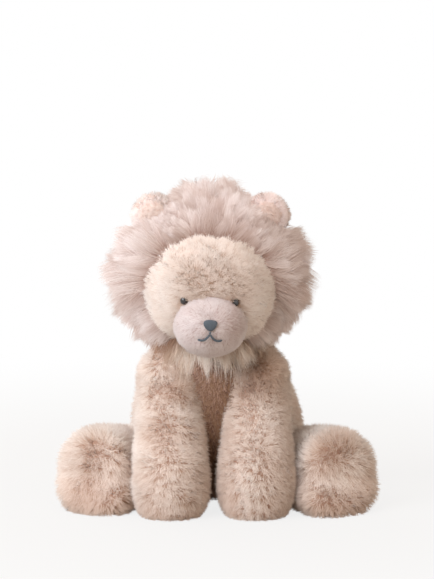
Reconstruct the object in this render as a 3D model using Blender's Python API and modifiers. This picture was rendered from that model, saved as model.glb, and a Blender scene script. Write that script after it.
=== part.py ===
"""A seated plush lion: stuffed skins over fibre and bean fillings, sewn together at swivelling seams.

Metres, +Z up, the lion faces -Y. The origin is the middle of the flat seat on the floor.
Left is the side at -X, seen from the front. Every outer solid is the mean surface of its combed fur.
"""

import math

import bmesh
import bpy
import numpy as np
from mathutils import Matrix, Vector

# Sewing, walls and clearances
SEAM_GAP = 0.0003
SWIVEL_GAP = 0.00095
FILL_GAP = 0.0006
PILE_WALL = 0.008
MUZZLE_WALL = 0.003
OVERRUN = 0.012
FLOOR_DIP = 0.0005
WELD = 0.000002

# Torso: a bean-weighted sack that leans forward towards the neck
TORSO_HEIGHT = 0.163
TORSO_HALF_WIDTH = 0.088
TORSO_HALF_DEPTH = 0.0686
TORSO_LEAN = 0.060
TORSO_ROW_SHARES = (
    (1.00, 0.00), (0.99, 0.22), (0.95, 0.47), (0.87, 0.70), (0.75, 0.85), (0.60, 0.945),
    (0.43, 0.995), (0.27, 1.00), (0.14, 0.95), (0.055, 0.86), (0.013, 0.75), (0.00, 0.66), (0.00, 0.00),
)
SEAT_POUCH_HEIGHT = 0.030

# Neck: a firm ball of stuffing that the head turns and nods on
NECK_PIVOT = (0.0, -0.060, 0.168)
NECK_BALL_RADIUS = 0.028

# Head
HEAD_CENTRE = (-0.003, -0.066, 0.232)
HEAD_RADII = (0.071, 0.064, 0.065)
HEAD_ROLL = math.radians(2)
DOME_HEIGHT = 0.1725
DOME_RADIUS = 0.090
DOME_FALL = 0.072
DOME_ROW_SHARES = ((0.58, 0.0), (0.67, 0.055), (0.80, 0.165), (0.91, 0.33), (1.0, 0.61), (1.0, 1.0))

# Mane: long-pile ring and hood round the head
MANE_CENTRE = (-0.003, -0.048, 0.231)
MANE_RADII = (0.097, 0.084, 0.090)
MANE_LOBES = 9
MANE_LOBE_DEPTH = 0.0034
FACE_OPENING_RADII = (0.062, 0.051)
FACE_OPENING_DROP = 0.008

# Muzzle, nose and mouth
MUZZLE_CENTRE = (-0.003, -0.116, 0.189)
MUZZLE_RADII = (0.035, 0.034, 0.030)
NOSE_HALF_WIDTH = 0.0066
NOSE_HEIGHT = 0.0106
NOSE_CORNER = 0.0025
NOSE_RISE = 0.0052
NOSE_THREAD = 0.0012
STITCH_RADIUS = 0.0009
STITCH_LIFT = 0.0013
PHILTRUM_LENGTH = 0.0045
MOUTH_HALF_WIDTH = 0.0115
MOUTH_DROP = 0.0037

# Eyes: domed beads on a grooved stem, each held by a locking washer inside the head
EYE_SPACING = 0.051
EYE_DROP = 0.0194
EYE_RADIUS = 0.0045
EYE_PROUD = 0.0012
EYE_BACK_DEPTH = 0.0015
STEM_RADIUS = 0.0016
STEM_LENGTH = 0.0075
WASHER_RADIUS = 0.006
WASHER_THICKNESS = 0.0016

# Ears: two layers, the outer back and the curly lining set into its front
EAR_OUT = 0.058
EAR_UP = 0.063
EAR_PLACE_Y = -0.070
EAR_HALF_LENGTH = 0.019
EAR_HALF_WIDTH = 0.021
EAR_HALF_THICKNESS = 0.009
EAR_SEAT_SINK = 0.0016
EAR_HINGE_DEPTH = 0.008
EAR_ROOM = 0.0065
LINING_HALF_LENGTH = 0.0145
LINING_HALF_WIDTH = 0.0165
LINING_HALF_THICKNESS = 0.0055
LINING_PROUD = 0.0012

# Front legs: upright, pivoting in ball seams at the shoulders
SHOULDER = (0.045, -0.075, 0.128)
SHOULDER_RADIUS = 0.033
FRONT_PAW_X = 0.042
FRONT_PAW_Y = -0.118
FRONT_LEG_RADIUS = 0.037
FRONT_LEG_ROW_SHARES = (
    (0.00, 0.00, 0.76), (0.234, 0.35, 0.88), (0.484, 0.72, 0.945), (0.70, 0.95, 1.00),
    (0.86, 1.00, 0.975), (0.953, 1.00, 0.85), (1.00, 1.00, 0.64),
)
PAW_POUCH_HEIGHT = 0.028

# Hind legs: lying on the floor, soles towards the viewer, pivoting in ball seams at the hips
HIP = (0.058, -0.022)
HIP_RADIUS = 0.0375
HIND_LEG_RADIUS = 0.0405
LEFT_FOOT = (-0.115, -0.088)
RIGHT_FOOT = (0.122, -0.096)
HIND_LEG_BOW = 0.009
HIND_LEG_ROW_SHARES = ((0.0, 0.0, 0.75), (0.22, 0.70, 0.75), (0.48, 1.0, 0.86), (0.75, 0.62, 0.96), (1.0, 0.0, 1.0))
SOLE_DEPTH = 0.024
SOLE_ROW_SHARES = ((0.45, 0.94), (0.78, 0.78), (0.95, 0.52), (1.0, 0.24))
FOOT_POUCH_SHARE = 0.62
ARMHOLE_RADIUS = 0.015

# Tail: a thin stuffed tube that curls along the floor to a tuft
TAIL_ROOT = (0.0, 0.050, 0.034)
TAIL_RADIUS = 0.0085
TAIL_ROOT_RADIUS = 0.012
TAIL_WALL = 0.003
TAIL_REACH = 0.096
TAIL_SETBACK = 0.058
TAIL_ROW_SHARES = (
    (0.0, 0.0, 0.0, 0.66), (0.01, 0.28, 0.26, 0.74), (0.13, 0.64, 0.80, 0.94), (0.42, 0.90, 1.0, 1.0),
    (0.86, 1.0, 1.0, 1.0),
)
TUFT_RADII = (0.027, 0.016, 0.016)
FLOOR_CLEARANCE = 0.0010

# Fineness of the surfaces
LIMB_BEVEL_STEPS = 4
CORE_BEVEL_STEPS = 2
TAIL_BEVEL_STEPS = 2
STITCH_BEVEL_STEPS = 1
LIMB_ROWS = 8
TORSO_SIDES = 20
HEAD_SIDES = 18
SOCKET_SIDES = 20
CORE_SIDES = 10
EAR_SIDES = 10
BEAD_SIDES = 8
MANE_SIDES_PER_LOBE = 4
MANE_RINGS = 8

LEFT = -1
RIGHT = 1


def linear(hex_colour):
    """Turns an sRGB hex colour such as D3B8A4 into linear red, green, blue and alpha."""
    levels = [int(hex_colour[i:i + 2], 16) / 255 for i in (0, 2, 4)]
    return [v / 12.92 if v <= 0.04045 else ((v + 0.055) / 1.055) ** 2.4 for v in levels] + [1.0]


def new_collection(name):
    made = bpy.data.collections.new(name)
    bpy.context.scene.collection.children.link(made)
    return made


def add_object(name, mesh, home):
    made = bpy.data.objects.new(name, mesh)
    home.objects.link(made)
    if home is CUTTERS:
        made.hide_render = True
        made.display_type = "WIRE"
    return made


def close_and_turn_out(mesh):
    """Welds coincident points and turns every face outwards."""
    work = bmesh.new()
    work.from_mesh(mesh)
    bmesh.ops.remove_doubles(work, verts=work.verts, dist=WELD)
    bmesh.ops.recalc_face_normals(work, faces=work.faces)
    work.to_mesh(mesh)
    work.free()
    mesh.shade_smooth()
    mesh.set_sharp_from_angle(angle=math.radians(50))


def smooth_rows(rows, count):
    """Rows read at even steps from a Catmull-Rom curve through the given rows."""
    rows = np.asarray(rows, dtype=float)
    padded = np.vstack([2 * rows[0] - rows[1], rows, 2 * rows[-1] - rows[-2]])
    steps = np.linspace(0, len(rows) - 1, count)
    first = np.minimum(steps.astype(int), len(rows) - 2)
    t = (steps - first)[:, None]
    a, b, c, d = (padded[first + k] for k in range(4))
    return 0.5 * (2 * b + (c - a) * t + (2 * a - 5 * b + 4 * c - d) * t**2 + (3 * b - a - 3 * c + d) * t**3)


def turned(name, outline, sides, home):
    """A solid of revolution about Z from (radius, height) rows that run top to bottom."""
    mesh = bpy.data.meshes.new(name)
    mesh.from_pydata([(r, 0, z) for r, z in outline], [(i, i + 1) for i in range(len(outline) - 1)], [])
    guide = add_object(name + "_guide", mesh, CUTTERS)
    screw = guide.modifiers.new("turn", "SCREW")
    screw.steps = screw.render_steps = sides
    screw.use_merge_vertices = True
    screw.merge_threshold = WELD
    bpy.context.view_layer.update()
    graph = bpy.context.evaluated_depsgraph_get()
    solid = bpy.data.meshes.new_from_object(guide.evaluated_get(graph))
    bpy.data.objects.remove(guide)
    close_and_turn_out(solid)
    return add_object(name, solid, home)


def ball(name, centre, radii, home, sides=HEAD_SIDES, turn=None, rings=None):
    """A sphere stretched to three radii, with its poles along Y, about a centre."""
    work = bmesh.new()
    bmesh.ops.create_uvsphere(work, u_segments=sides, v_segments=rings or sides // 2, radius=1)
    bmesh.ops.rotate(work, verts=work.verts, matrix=Matrix.Rotation(math.radians(90), 3, "X"))
    bmesh.ops.scale(work, verts=work.verts, vec=radii)
    mesh = bpy.data.meshes.new(name)
    work.to_mesh(mesh)
    work.free()
    close_and_turn_out(mesh)
    made = add_object(name, mesh, home)
    made.location = centre
    if turn is not None:
        made.rotation_euler = turn.to_euler()
    return made


def box(name, low, high, home):
    """A box between two corners."""
    work = bmesh.new()
    bmesh.ops.create_cube(work, size=1)
    size = Vector(high) - Vector(low)
    bmesh.ops.scale(work, verts=work.verts, vec=size)
    mesh = bpy.data.meshes.new(name)
    work.to_mesh(mesh)
    work.free()
    made = add_object(name, mesh, home)
    made.location = (Vector(high) + Vector(low)) / 2
    return made


def tube(name, points, radii, steps, home):
    """A closed tube through the points, with its own radius at each, as a welded mesh."""
    curve = bpy.data.curves.new(name, "CURVE")
    curve.dimensions = "3D"
    curve.bevel_depth = 1
    curve.bevel_resolution = steps
    curve.use_fill_caps = True
    line = curve.splines.new("POLY")
    line.points.add(len(points) - 1)
    for spot, place, radius in zip(line.points, points, radii):
        spot.co = (*place, 1)
        spot.radius = radius
    guide = add_object(name + "_guide", curve, CUTTERS)
    bpy.context.view_layer.update()
    graph = bpy.context.evaluated_depsgraph_get()
    mesh = bpy.data.meshes.new_from_object(guide.evaluated_get(graph))
    bpy.data.objects.remove(guide)
    close_and_turn_out(mesh)
    return add_object(name, mesh, home)


def combine(piece, other, operation):
    """Adds a Boolean to a piece: DIFFERENCE, UNION or INTERSECT."""
    step = piece.modifiers.new(operation.lower(), "BOOLEAN")
    step.operation = operation
    step.object = other
    step.solver = "EXACT"


def cut(piece, *cutters):
    for cutter in cutters:
        combine(piece, cutter, "DIFFERENCE")


def finish(piece, body, colour, roughness, metallic=0.0):
    """Gives a piece its own Principled material and parents it to its body's empty."""
    material = bpy.data.materials.new(piece.name + "_material")
    material.use_nodes = True
    shader = material.node_tree.nodes["Principled BSDF"]
    shader.inputs["Base Color"].default_value = linear(colour)
    shader.inputs["Roughness"].default_value = roughness
    shader.inputs["Metallic"].default_value = metallic
    material.diffuse_color = linear(colour)
    piece.data.materials.append(material)
    pivot = BODIES[body]
    piece.parent = pivot
    piece.matrix_parent_inverse = Matrix.Translation(pivot.location).inverted()


def add_body(name, pivot):
    """An empty on a joint's axis that carries one moving body."""
    made = bpy.data.objects.new(name + "_pivot", None)
    made.location = pivot
    PARTS.objects.link(made)
    BODIES[name] = made


def floor_block(name, height):
    """A block whose top face is the plane that flattens a form at the given height."""
    reach = TORSO_HEIGHT * 2
    return box(name, (-reach, -reach, -reach), (reach, reach, height), CUTTERS)


def level_slab(name, low, high):
    """A wide slab between two heights."""
    reach = TORSO_HEIGHT * 2
    return box(name, (-reach, -reach, low), (reach, reach, high), CUTTERS)


def mirrored(place, side):
    return (place[0] * side, *place[1:])


def torso_form(name, inset, home, sides=TORSO_SIDES):
    """The torso's turned outline, drawn in by the inset, flattened front to back and leaned forward."""
    height = TORSO_HEIGHT + FLOOR_DIP - 2 * inset
    rows = [
        ((TORSO_HALF_WIDTH - inset) * out, inset - FLOOR_DIP + height * up)
        for up, out in TORSO_ROW_SHARES
    ]
    made = turned(name, rows, sides, home)
    slimmer = (TORSO_HALF_DEPTH - inset) / (TORSO_HALF_WIDTH - inset)
    lean = Matrix.Identity(4)
    lean[1][2] = -TORSO_LEAN / TORSO_HEIGHT
    made.data.transform(lean @ Matrix.Scale(slimmer, 4, (0, 1, 0)))
    return made


def shoulder_at(side):
    return mirrored(SHOULDER, side)


def hip_at(side):
    return (HIP[0] * side, HIP[1], HIP_RADIUS - FLOOR_DIP)


def sockets():
    """The ball-shaped hollows that the limbs, the neck and the tail swivel in."""
    neck = [NECK_BALL_RADIUS + SWIVEL_GAP] * 3
    tail = [TAIL_ROOT_RADIUS + SWIVEL_GAP] * 3
    made = [
        ball("neck_socket", NECK_PIVOT, neck, CUTTERS, SOCKET_SIDES),
        ball("tail_socket", TAIL_ROOT, tail, CUTTERS, CORE_SIDES),
    ]
    for side in (LEFT, RIGHT):
        shoulder = [SHOULDER_RADIUS + SWIVEL_GAP] * 3
        made.append(ball("shoulder_socket", shoulder_at(side), shoulder, CUTTERS, SOCKET_SIDES))
        hip = [HIP_RADIUS + SWIVEL_GAP] * 3
        made.append(ball("hip_socket", hip_at(side), hip, CUTTERS, SOCKET_SIDES))
    return made


def build_torso():
    """The body skin, its fibre stuffing and the bean pouch that it sits on."""
    hollows = sockets()
    skin = torso_form("body_skin", 0, PARTS)
    cut(skin, torso_form("body_hollow", PILE_WALL, CUTTERS, CORE_SIDES), floor_block("floor_plane", 0), *hollows)
    finish(skin, "torso", "D3B8A4", 0.9)
    split = SEAT_POUCH_HEIGHT
    stuffing = torso_form("body_stuffing", PILE_WALL + FILL_GAP, PARTS, CORE_SIDES)
    cut(stuffing, level_slab("below_split", -OVERRUN, split), *hollows)
    finish(stuffing, "torso", "F2EFE8", 0.95)
    pouch = torso_form("seat_bean_pouch", PILE_WALL + FILL_GAP, PARTS, CORE_SIDES)
    cut(pouch, level_slab("above_split", split - SEAM_GAP, TORSO_HEIGHT + OVERRUN), *hollows)
    finish(pouch, "torso", "DAD2C2", 0.85)


def build_neck():
    neck = ball("neck_stuffing", NECK_PIVOT, [NECK_BALL_RADIUS] * 3, PARTS, SOCKET_SIDES)
    finish(neck, "neck", "F2EFE8", 0.95)


def head_form(name, inset, home, sides=HEAD_SIDES):
    roll = Matrix.Rotation(HEAD_ROLL, 3, "Y")
    return ball(name, HEAD_CENTRE, [r - inset for r in HEAD_RADII], home, sides, roll)


def on_head(across, up):
    """A point on the head's front surface and its outward direction, from offsets on the rolled face."""
    a, b, c = HEAD_RADII
    depth = b * math.sqrt(1 - (across / a) ** 2 - (up / c) ** 2)
    roll = Matrix.Rotation(HEAD_ROLL, 3, "Y")
    place = Vector(HEAD_CENTRE) + roll @ Vector((across, -depth, up))
    outward = roll @ Vector((across / a**2, -depth / b**2, up / c**2)).normalized()
    return place, outward


def clearance_dome(name):
    """The room under the head and mane that lets them turn and nod over the shoulders."""
    rows = [(0, DOME_HEIGHT)]
    rows += [(DOME_RADIUS * out, DOME_HEIGHT - DOME_FALL * fall) for out, fall in DOME_ROW_SHARES]
    rows.append((0, DOME_HEIGHT - DOME_FALL))
    made = turned(name, rows, TORSO_SIDES, CUTTERS)
    made.location = (NECK_PIVOT[0], NECK_PIVOT[1], 0)
    return made


def eye_rows(extra):
    """The bead's outline about its stem axis, top to bottom, with the head's surface at height 0."""
    middle = EYE_PROUD - EYE_RADIUS
    low = math.asin(EYE_BACK_DEPTH / EYE_RADIUS)
    turns = np.linspace(math.radians(90), -low, 5)
    radius = EYE_RADIUS + extra
    rows = [(radius * math.cos(a) if a < turns[0] else 0, middle + radius * math.sin(a)) for a in turns]
    back = middle - EYE_BACK_DEPTH - extra
    rows += [(STEM_RADIUS + extra, back), (STEM_RADIUS + extra, back - STEM_LENGTH)]
    return rows + [(0, back - STEM_LENGTH)]


def aimed(piece, place, outward):
    """Stands a piece that was made along Z on a place, pointing outwards."""
    piece.location = place
    piece.rotation_euler = outward.to_track_quat("Z", "Y").to_euler()
    return piece


def washer_rows(outer, inner, top, bottom):
    return [(inner, top), (outer, top), (outer, bottom), (inner, bottom), (inner, top)]


def build_eyes(skins, stuffing):
    """Both beads with their pockets in the face, and the washers that lock them inside."""
    for side, word in ((LEFT, "left"), (RIGHT, "right")):
        place, outward = on_head(side * EYE_SPACING / 2, -EYE_DROP)
        eye = aimed(turned(word + "_eye", eye_rows(0), BEAD_SIDES, PARTS), place, outward)
        finish(eye, "head", "161413", 0.12)
        pocket = aimed(turned("eye_pocket", eye_rows(SEAM_GAP), BEAD_SIDES, CUTTERS), place, outward)
        rim = [(0, OVERRUN), (EYE_RADIUS + SEAM_GAP, OVERRUN)]
        rim += [(EYE_RADIUS + SEAM_GAP, EYE_PROUD - EYE_RADIUS), (0, EYE_PROUD - EYE_RADIUS)]
        mouth = aimed(turned("eye_mouth", rim, BEAD_SIDES, CUTTERS), place, outward)
        for skin in skins:
            cut(skin, pocket, mouth)
        top = -PILE_WALL
        low = top - WASHER_THICKNESS
        rows = washer_rows(WASHER_RADIUS, STEM_RADIUS + SEAM_GAP, top, low)
        washer = turned(word + "_eye_washer", rows, BEAD_SIDES, PARTS)
        finish(aimed(washer, place, outward), "head", "E8E6E0", 0.4)
        depth = EYE_PROUD - EYE_RADIUS - EYE_BACK_DEPTH - STEM_LENGTH - 2 * SEAM_GAP
        reach = WASHER_RADIUS + SEAM_GAP
        seat = top + SEAM_GAP
        recess = [(0, seat), (reach, seat), (reach, depth), (0, depth)]
        cutter = aimed(turned("washer_recess", recess, BEAD_SIDES, CUTTERS), place, outward)
        cut(skins[0], cutter)
        cut(stuffing, cutter)


def build_head(muzzle_skin):
    """The head skin with its eye pockets and its neck opening, and the fibre stuffing."""
    neck = ball("head_neck_hole", NECK_PIVOT, [NECK_BALL_RADIUS + SWIVEL_GAP] * 3, CUTTERS, SOCKET_SIDES)
    dome = clearance_dome("head_dome")
    skin = head_form("head_skin", 0, PARTS)
    cut(skin, head_form("head_hollow", PILE_WALL, CUTTERS, CORE_SIDES), dome, neck)
    stuffing = head_form("head_stuffing", PILE_WALL + FILL_GAP, PARTS, CORE_SIDES)
    cut(stuffing, neck)
    build_eyes((skin, muzzle_skin), stuffing)
    finish(skin, "head", "D9BFA6", 0.9)
    finish(stuffing, "head", "F2EFE8", 0.95)


def muzzle_form(name, inset, home, sides=HEAD_SIDES):
    return ball(name, MUZZLE_CENTRE, [r - inset for r in MUZZLE_RADII], home, sides)


def on_muzzle(across, up, lift):
    """A point over the muzzle's front, from offsets about its centre and a lift off its surface."""
    a, b, c = (r + lift for r in MUZZLE_RADII)
    turn = Matrix.Rotation(HEAD_ROLL, 3, "Y") @ Vector((across, 0, up))
    depth = b * math.sqrt(1 - (turn.x / a) ** 2 - (turn.z / c) ** 2)
    return Vector(MUZZLE_CENTRE) + Vector((turn.x, -depth, turn.z))


def nose_outline():
    """A rounded triangle, wide at the top: points on three corner arcs, in width and height."""
    half = NOSE_HALF_WIDTH - NOSE_CORNER
    drop = NOSE_HEIGHT - 2 * NOSE_CORNER
    corners = ((-half, 0, 180, 70), (half, 0, 110, 0), (0, -drop, -20, -160))
    points = []
    for x, z, start, end in corners:
        for angle in np.radians(np.linspace(start, end, 6)):
            points.append((x + NOSE_CORNER * math.cos(angle), z + NOSE_CORNER * math.sin(angle)))
    return points


def build_nose():
    """The satin-stitched nose: a rounded triangle laid over the muzzle's curve."""
    flat = bpy.data.curves.new("nose_flat", "CURVE")
    flat.dimensions = "2D"
    flat.fill_mode = "BOTH"
    flat.extrude = OVERRUN
    line = flat.splines.new("POLY")
    points = nose_outline()
    line.points.add(len(points) - 1)
    for spot, (x, z) in zip(line.points, points):
        spot.co = (x, z, 0, 1)
    line.use_cyclic_u = True
    guide = add_object("nose_guide", flat, CUTTERS)
    bpy.context.view_layer.update()
    graph = bpy.context.evaluated_depsgraph_get()
    mesh = bpy.data.meshes.new_from_object(guide.evaluated_get(graph))
    bpy.data.objects.remove(guide)
    close_and_turn_out(mesh)
    nose = add_object("nose_embroidery", mesh, PARTS)
    nose.rotation_euler = (math.radians(90), HEAD_ROLL, 0)
    nose.location = on_muzzle(0, NOSE_RISE + NOSE_HEIGHT / 2 - NOSE_CORNER, 0)
    combine(nose, muzzle_form("nose_top", -SEAM_GAP - NOSE_THREAD, CUTTERS), "INTERSECT")
    cut(nose, muzzle_form("nose_bed", -SEAM_GAP, CUTTERS))
    finish(nose, "head", "454E57", 0.55)


def build_mouth():
    """Three runs of mouth thread: the short upright one and the two halves of the smile."""
    top = NOSE_RISE - NOSE_HEIGHT / 2 - STITCH_RADIUS - SEAM_GAP
    fork = top - PHILTRUM_LENGTH
    clear = STITCH_RADIUS * 2 + SEAM_GAP
    runs = {"philtrum_stitch": [(0, top + (fork - top) * t) for t in np.linspace(0, 1, 4)]}
    for side, word in ((LEFT, "left"), (RIGHT, "right")):
        reach = [clear + (MOUTH_HALF_WIDTH - clear) * t for t in np.linspace(0, 1, 6)]
        bend = [fork - MOUTH_DROP * math.sin(t * math.pi / 2) for t in np.linspace(0, 1, 6)]
        runs["mouth_stitch_" + word] = [(side * x, z) for x, z in zip(reach, bend)]
    for name, spots in runs.items():
        path = [on_muzzle(x, z, STITCH_LIFT) for x, z in spots]
        stitch = tube(name, path, [STITCH_RADIUS] * len(path), STITCH_BEVEL_STEPS, PARTS)
        finish(stitch, "head", "4A545E", 0.6)


def build_muzzle():
    """The short-pile muzzle skin, open towards the head, and its stuffing."""
    head = head_form("muzzle_head_cut", -SEAM_GAP, CUTTERS)
    skin = muzzle_form("muzzle_skin", 0, PARTS)
    cut(skin, muzzle_form("muzzle_hollow", MUZZLE_WALL, CUTTERS, CORE_SIDES), head)
    finish(skin, "head", "E0CEC8", 0.85)
    stuffing = muzzle_form("muzzle_stuffing", MUZZLE_WALL + FILL_GAP, PARTS, CORE_SIDES)
    cut(stuffing, head)
    finish(stuffing, "head", "F2EFE8", 0.95)
    build_nose()
    build_mouth()
    return skin


def ear_frame(side):
    """The ear's turn about Y, with its length pointing away from the head, and that direction."""
    outward = Vector((side * EAR_OUT, 0, EAR_UP)).normalized()
    angle = math.atan2(outward.x, outward.z)
    return Matrix.Rotation(angle, 3, "Y"), outward


def head_reach(outward):
    """How far the rolled head's surface lies from its centre along a direction in the face plane."""
    a, _, c = HEAD_RADII
    local = Matrix.Rotation(-HEAD_ROLL, 3, "Y") @ outward
    return 1 / math.hypot(local.x / a, local.z / c)


def ear_centre(side):
    _, outward = ear_frame(side)
    away = head_reach(outward) - EAR_SEAT_SINK + EAR_HALF_LENGTH
    x, _, z = Vector(HEAD_CENTRE) + outward * away
    return Vector((x, EAR_PLACE_Y, z))


def ear_hinge(side):
    _, outward = ear_frame(side)
    return ear_centre(side) - outward * (EAR_HALF_LENGTH - EAR_HINGE_DEPTH)


def lining_form(name, side, extra, home):
    turn, outward = ear_frame(side)
    radii = (LINING_HALF_WIDTH + extra, LINING_HALF_THICKNESS + extra, LINING_HALF_LENGTH + extra)
    forward = EAR_HALF_THICKNESS + LINING_PROUD - LINING_HALF_THICKNESS
    centre = ear_centre(side) - Vector((0, forward, 0))
    return ball(name, centre, radii, home, EAR_SIDES, turn)


def build_ears():
    for side, word in ((LEFT, "left"), (RIGHT, "right")):
        turn, _ = ear_frame(side)
        radii = (EAR_HALF_WIDTH, EAR_HALF_THICKNESS, EAR_HALF_LENGTH)
        back = ball(word + "_ear_back", ear_centre(side), radii, PARTS, EAR_SIDES, turn)
        cut(back, lining_form("lining_seat", side, SEAM_GAP, CUTTERS))
        finish(back, word + "_ear", "DCC6B6", 0.9)
        lining = lining_form(word + "_ear_lining", side, 0, PARTS)
        finish(lining, word + "_ear", "E3BFA8", 0.9)


def round_block(name, centre, radii, reach, turn=None):
    """An elliptic cylinder along Y that runs from the centre to the reach in front of it."""
    work = bmesh.new()
    bmesh.ops.create_cone(
        work, cap_ends=True, segments=HEAD_SIDES, radius1=1, radius2=1, depth=1,
        matrix=Matrix.Rotation(math.radians(90), 4, "X"),
    )
    bmesh.ops.scale(work, verts=work.verts, vec=(radii[0], reach, radii[1]))
    mesh = bpy.data.meshes.new(name)
    work.to_mesh(mesh)
    work.free()
    close_and_turn_out(mesh)
    made = add_object(name, mesh, CUTTERS)
    made.location = Vector(centre) - Vector((0, reach / 2, 0))
    if turn is not None:
        made.rotation_euler = turn.to_euler()
    return made


def build_mane():
    """The lobed mane, hollowed for the head, open round the face and slotted for the ears."""
    sides = MANE_LOBES * MANE_SIDES_PER_LOBE
    mane = ball("mane", MANE_CENTRE, MANE_RADII, PARTS, sides, rings=MANE_RINGS)
    spots = np.empty(len(mane.data.vertices) * 3)
    mane.data.vertices.foreach_get("co", spots)
    spots = spots.reshape(-1, 3)
    unit = spots / np.array(MANE_RADII)
    swell = np.cos(MANE_LOBES * np.arctan2(unit[:, 2], unit[:, 0])) * (1 - unit[:, 1] ** 2)
    spots += unit * (MANE_LOBE_DEPTH * swell)[:, None]
    mane.data.vertices.foreach_set("co", spots.ravel())
    x, y, z = HEAD_CENTRE
    face = round_block("face_opening", (x, y, z - FACE_OPENING_DROP), FACE_OPENING_RADII, HEAD_RADII[1] * 2)
    hollow = head_form("mane_hollow", -SEAM_GAP, CUTTERS)
    muzzle = muzzle_form("mane_muzzle_cut", -SEAM_GAP, CUTTERS)
    neck = ball("mane_neck_hole", NECK_PIVOT, [NECK_BALL_RADIUS + SWIVEL_GAP] * 3, CUTTERS, SOCKET_SIDES)
    cut(mane, hollow, face, muzzle, neck, clearance_dome("mane_dome"))
    for side in (LEFT, RIGHT):
        turn, _ = ear_frame(side)
        start = ear_centre(side) + Vector((0, EAR_HALF_THICKNESS + EAR_ROOM, 0))
        slot = (EAR_HALF_WIDTH + EAR_ROOM, EAR_HALF_LENGTH + EAR_ROOM)
        cut(mane, round_block("ear_slot", start, slot, HEAD_RADII[1] * 2, turn))
    finish(mane, "head", "C9ACA1", 0.9)


def front_leg_tube(name, side, inset, home, steps=CORE_BEVEL_STEPS):
    """The leg below its shoulder ball: rows of place and radius, drawn in by the inset."""
    shoulder = shoulder_at(side)
    paw = (FRONT_PAW_X * side, FRONT_PAW_Y)
    drop = shoulder[2] + FLOOR_DIP
    rows = [
        (*(shoulder[k] + (paw[k] - shoulder[k]) * ahead for k in (0, 1)), shoulder[2] - drop * down, wide)
        for down, ahead, wide in FRONT_LEG_ROW_SHARES
    ]
    rows = smooth_rows(rows, LIMB_ROWS)
    return tube(name, rows[:, :3], FRONT_LEG_RADIUS * rows[:, 3] - inset, steps, home)


def hind_leg_rows(side, inset):
    """Places and radii from the hip to the sole, resting on the floor all the way."""
    hip = Vector(hip_at(side)).to_2d()
    foot = Vector(LEFT_FOOT if side == LEFT else RIGHT_FOOT)
    along = foot - hip
    outward = Vector((-along.y, along.x)).normalized() * side
    rows = []
    for ahead, bow, wide in HIND_LEG_ROW_SHARES:
        place = hip + along * ahead + outward * HIND_LEG_BOW * bow
        rows.append((*place, HIND_LEG_RADIUS * wide))
    rows = smooth_rows(rows, LIMB_ROWS - len(SOLE_ROW_SHARES))
    points = [(x, y, r - FLOOR_DIP) for x, y, r in rows]
    radii = [r - inset for r in rows[:, 2]]
    end = Vector(points[-1])
    ahead = (end - Vector(points[-2])).normalized()
    for out, wide in SOLE_ROW_SHARES:
        points.append(end + ahead * (SOLE_DEPTH - inset) * out)
        radii.append((HIND_LEG_RADIUS - inset) * wide)
    return points, radii


def hind_leg_tube(name, side, inset, home, steps=CORE_BEVEL_STEPS):
    points, radii = hind_leg_rows(side, inset)
    return tube(name, points, radii, steps, home)


def ankle_block(name, side, shift, beyond):
    """A block on one side of the plane across the ankle that parts the stuffing from the beans."""
    points, _ = hind_leg_rows(side, 0)
    hip = Vector(points[0])
    foot = Vector(points[-1])
    ahead = Vector((foot.x - hip.x, foot.y - hip.y, 0)).normalized()
    reach = HIND_LEG_RADIUS * 3
    made = box(name, (-reach, -reach, -reach), (reach, reach, reach), CUTTERS)
    made.rotation_euler = ahead.to_track_quat("Z", "Y").to_euler()
    made.location = hip + (foot - hip) * FOOT_POUCH_SHARE + ahead * (shift + reach * beyond)
    return made


def build_leg(word, side, kind):
    """One limb: its skin, open at the seam to the torso, its stuffing and its bean pouch."""
    front = kind == "front"
    form = front_leg_tube if front else hind_leg_tube
    pivot = shoulder_at(side) if front else hip_at(side)
    radius = SHOULDER_RADIUS if front else HIP_RADIUS
    body = f"{word}_{kind}_leg"
    belly = torso_form(body + "_belly", -SEAM_GAP, CUTTERS)
    skin = form(body + "_skin", side, 0, PARTS, LIMB_BEVEL_STEPS)
    cut(skin, belly)
    combine(skin, ball(body + "_ball", pivot, [radius] * 3, CUTTERS, SOCKET_SIDES), "UNION")
    cut(skin, floor_block(body + "_floor", 0))
    hollow = form(body + "_hollow", side, PILE_WALL, CUTTERS)
    cut(hollow, floor_block(body + "_hollow_floor", PILE_WALL))
    hollow_ball = ball(body + "_hollow_ball", pivot, [radius - PILE_WALL] * 3, CUTTERS, CORE_SIDES)
    cut(skin, hollow, hollow_ball)
    inward = box(
        body + "_armhole", (0, -ARMHOLE_RADIUS, -ARMHOLE_RADIUS),
        (radius + OVERRUN, ARMHOLE_RADIUS, ARMHOLE_RADIUS), CUTTERS,
    )
    inward.location = Vector(pivot) - Vector((side * (radius + OVERRUN) / 2, 0, 0))
    cut(skin, inward)
    finish(skin, body, "D3B8A4", 0.9)
    inset = PILE_WALL + FILL_GAP
    for name, colour in (("stuffing", "F2EFE8"), ("bean_pouch", "DAD2C2")):
        fill = form(f"{body}_{name}", side, inset, PARTS)
        cut(fill, belly)
        if name == "stuffing":
            core = ball(body + "_core", pivot, [radius - inset] * 3, CUTTERS, CORE_SIDES)
            combine(fill, core, "UNION")
        cut(fill, floor_block(f"{body}_{name}_floor", inset))
        stuffed = name == "stuffing"
        if front:
            top = shoulder_at(side)[2] + SHOULDER_RADIUS
            low, high = (-OVERRUN, PAW_POUCH_HEIGHT) if stuffed else (PAW_POUCH_HEIGHT - SEAM_GAP, top)
            cut(fill, level_slab(f"{body}_{name}_split", low, high))
        else:
            cut(fill, ankle_block(f"{body}_{name}_split", side, 0 if stuffed else SEAM_GAP, 1 if stuffed else -1))
        finish(fill, body, colour, 0.9)


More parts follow.
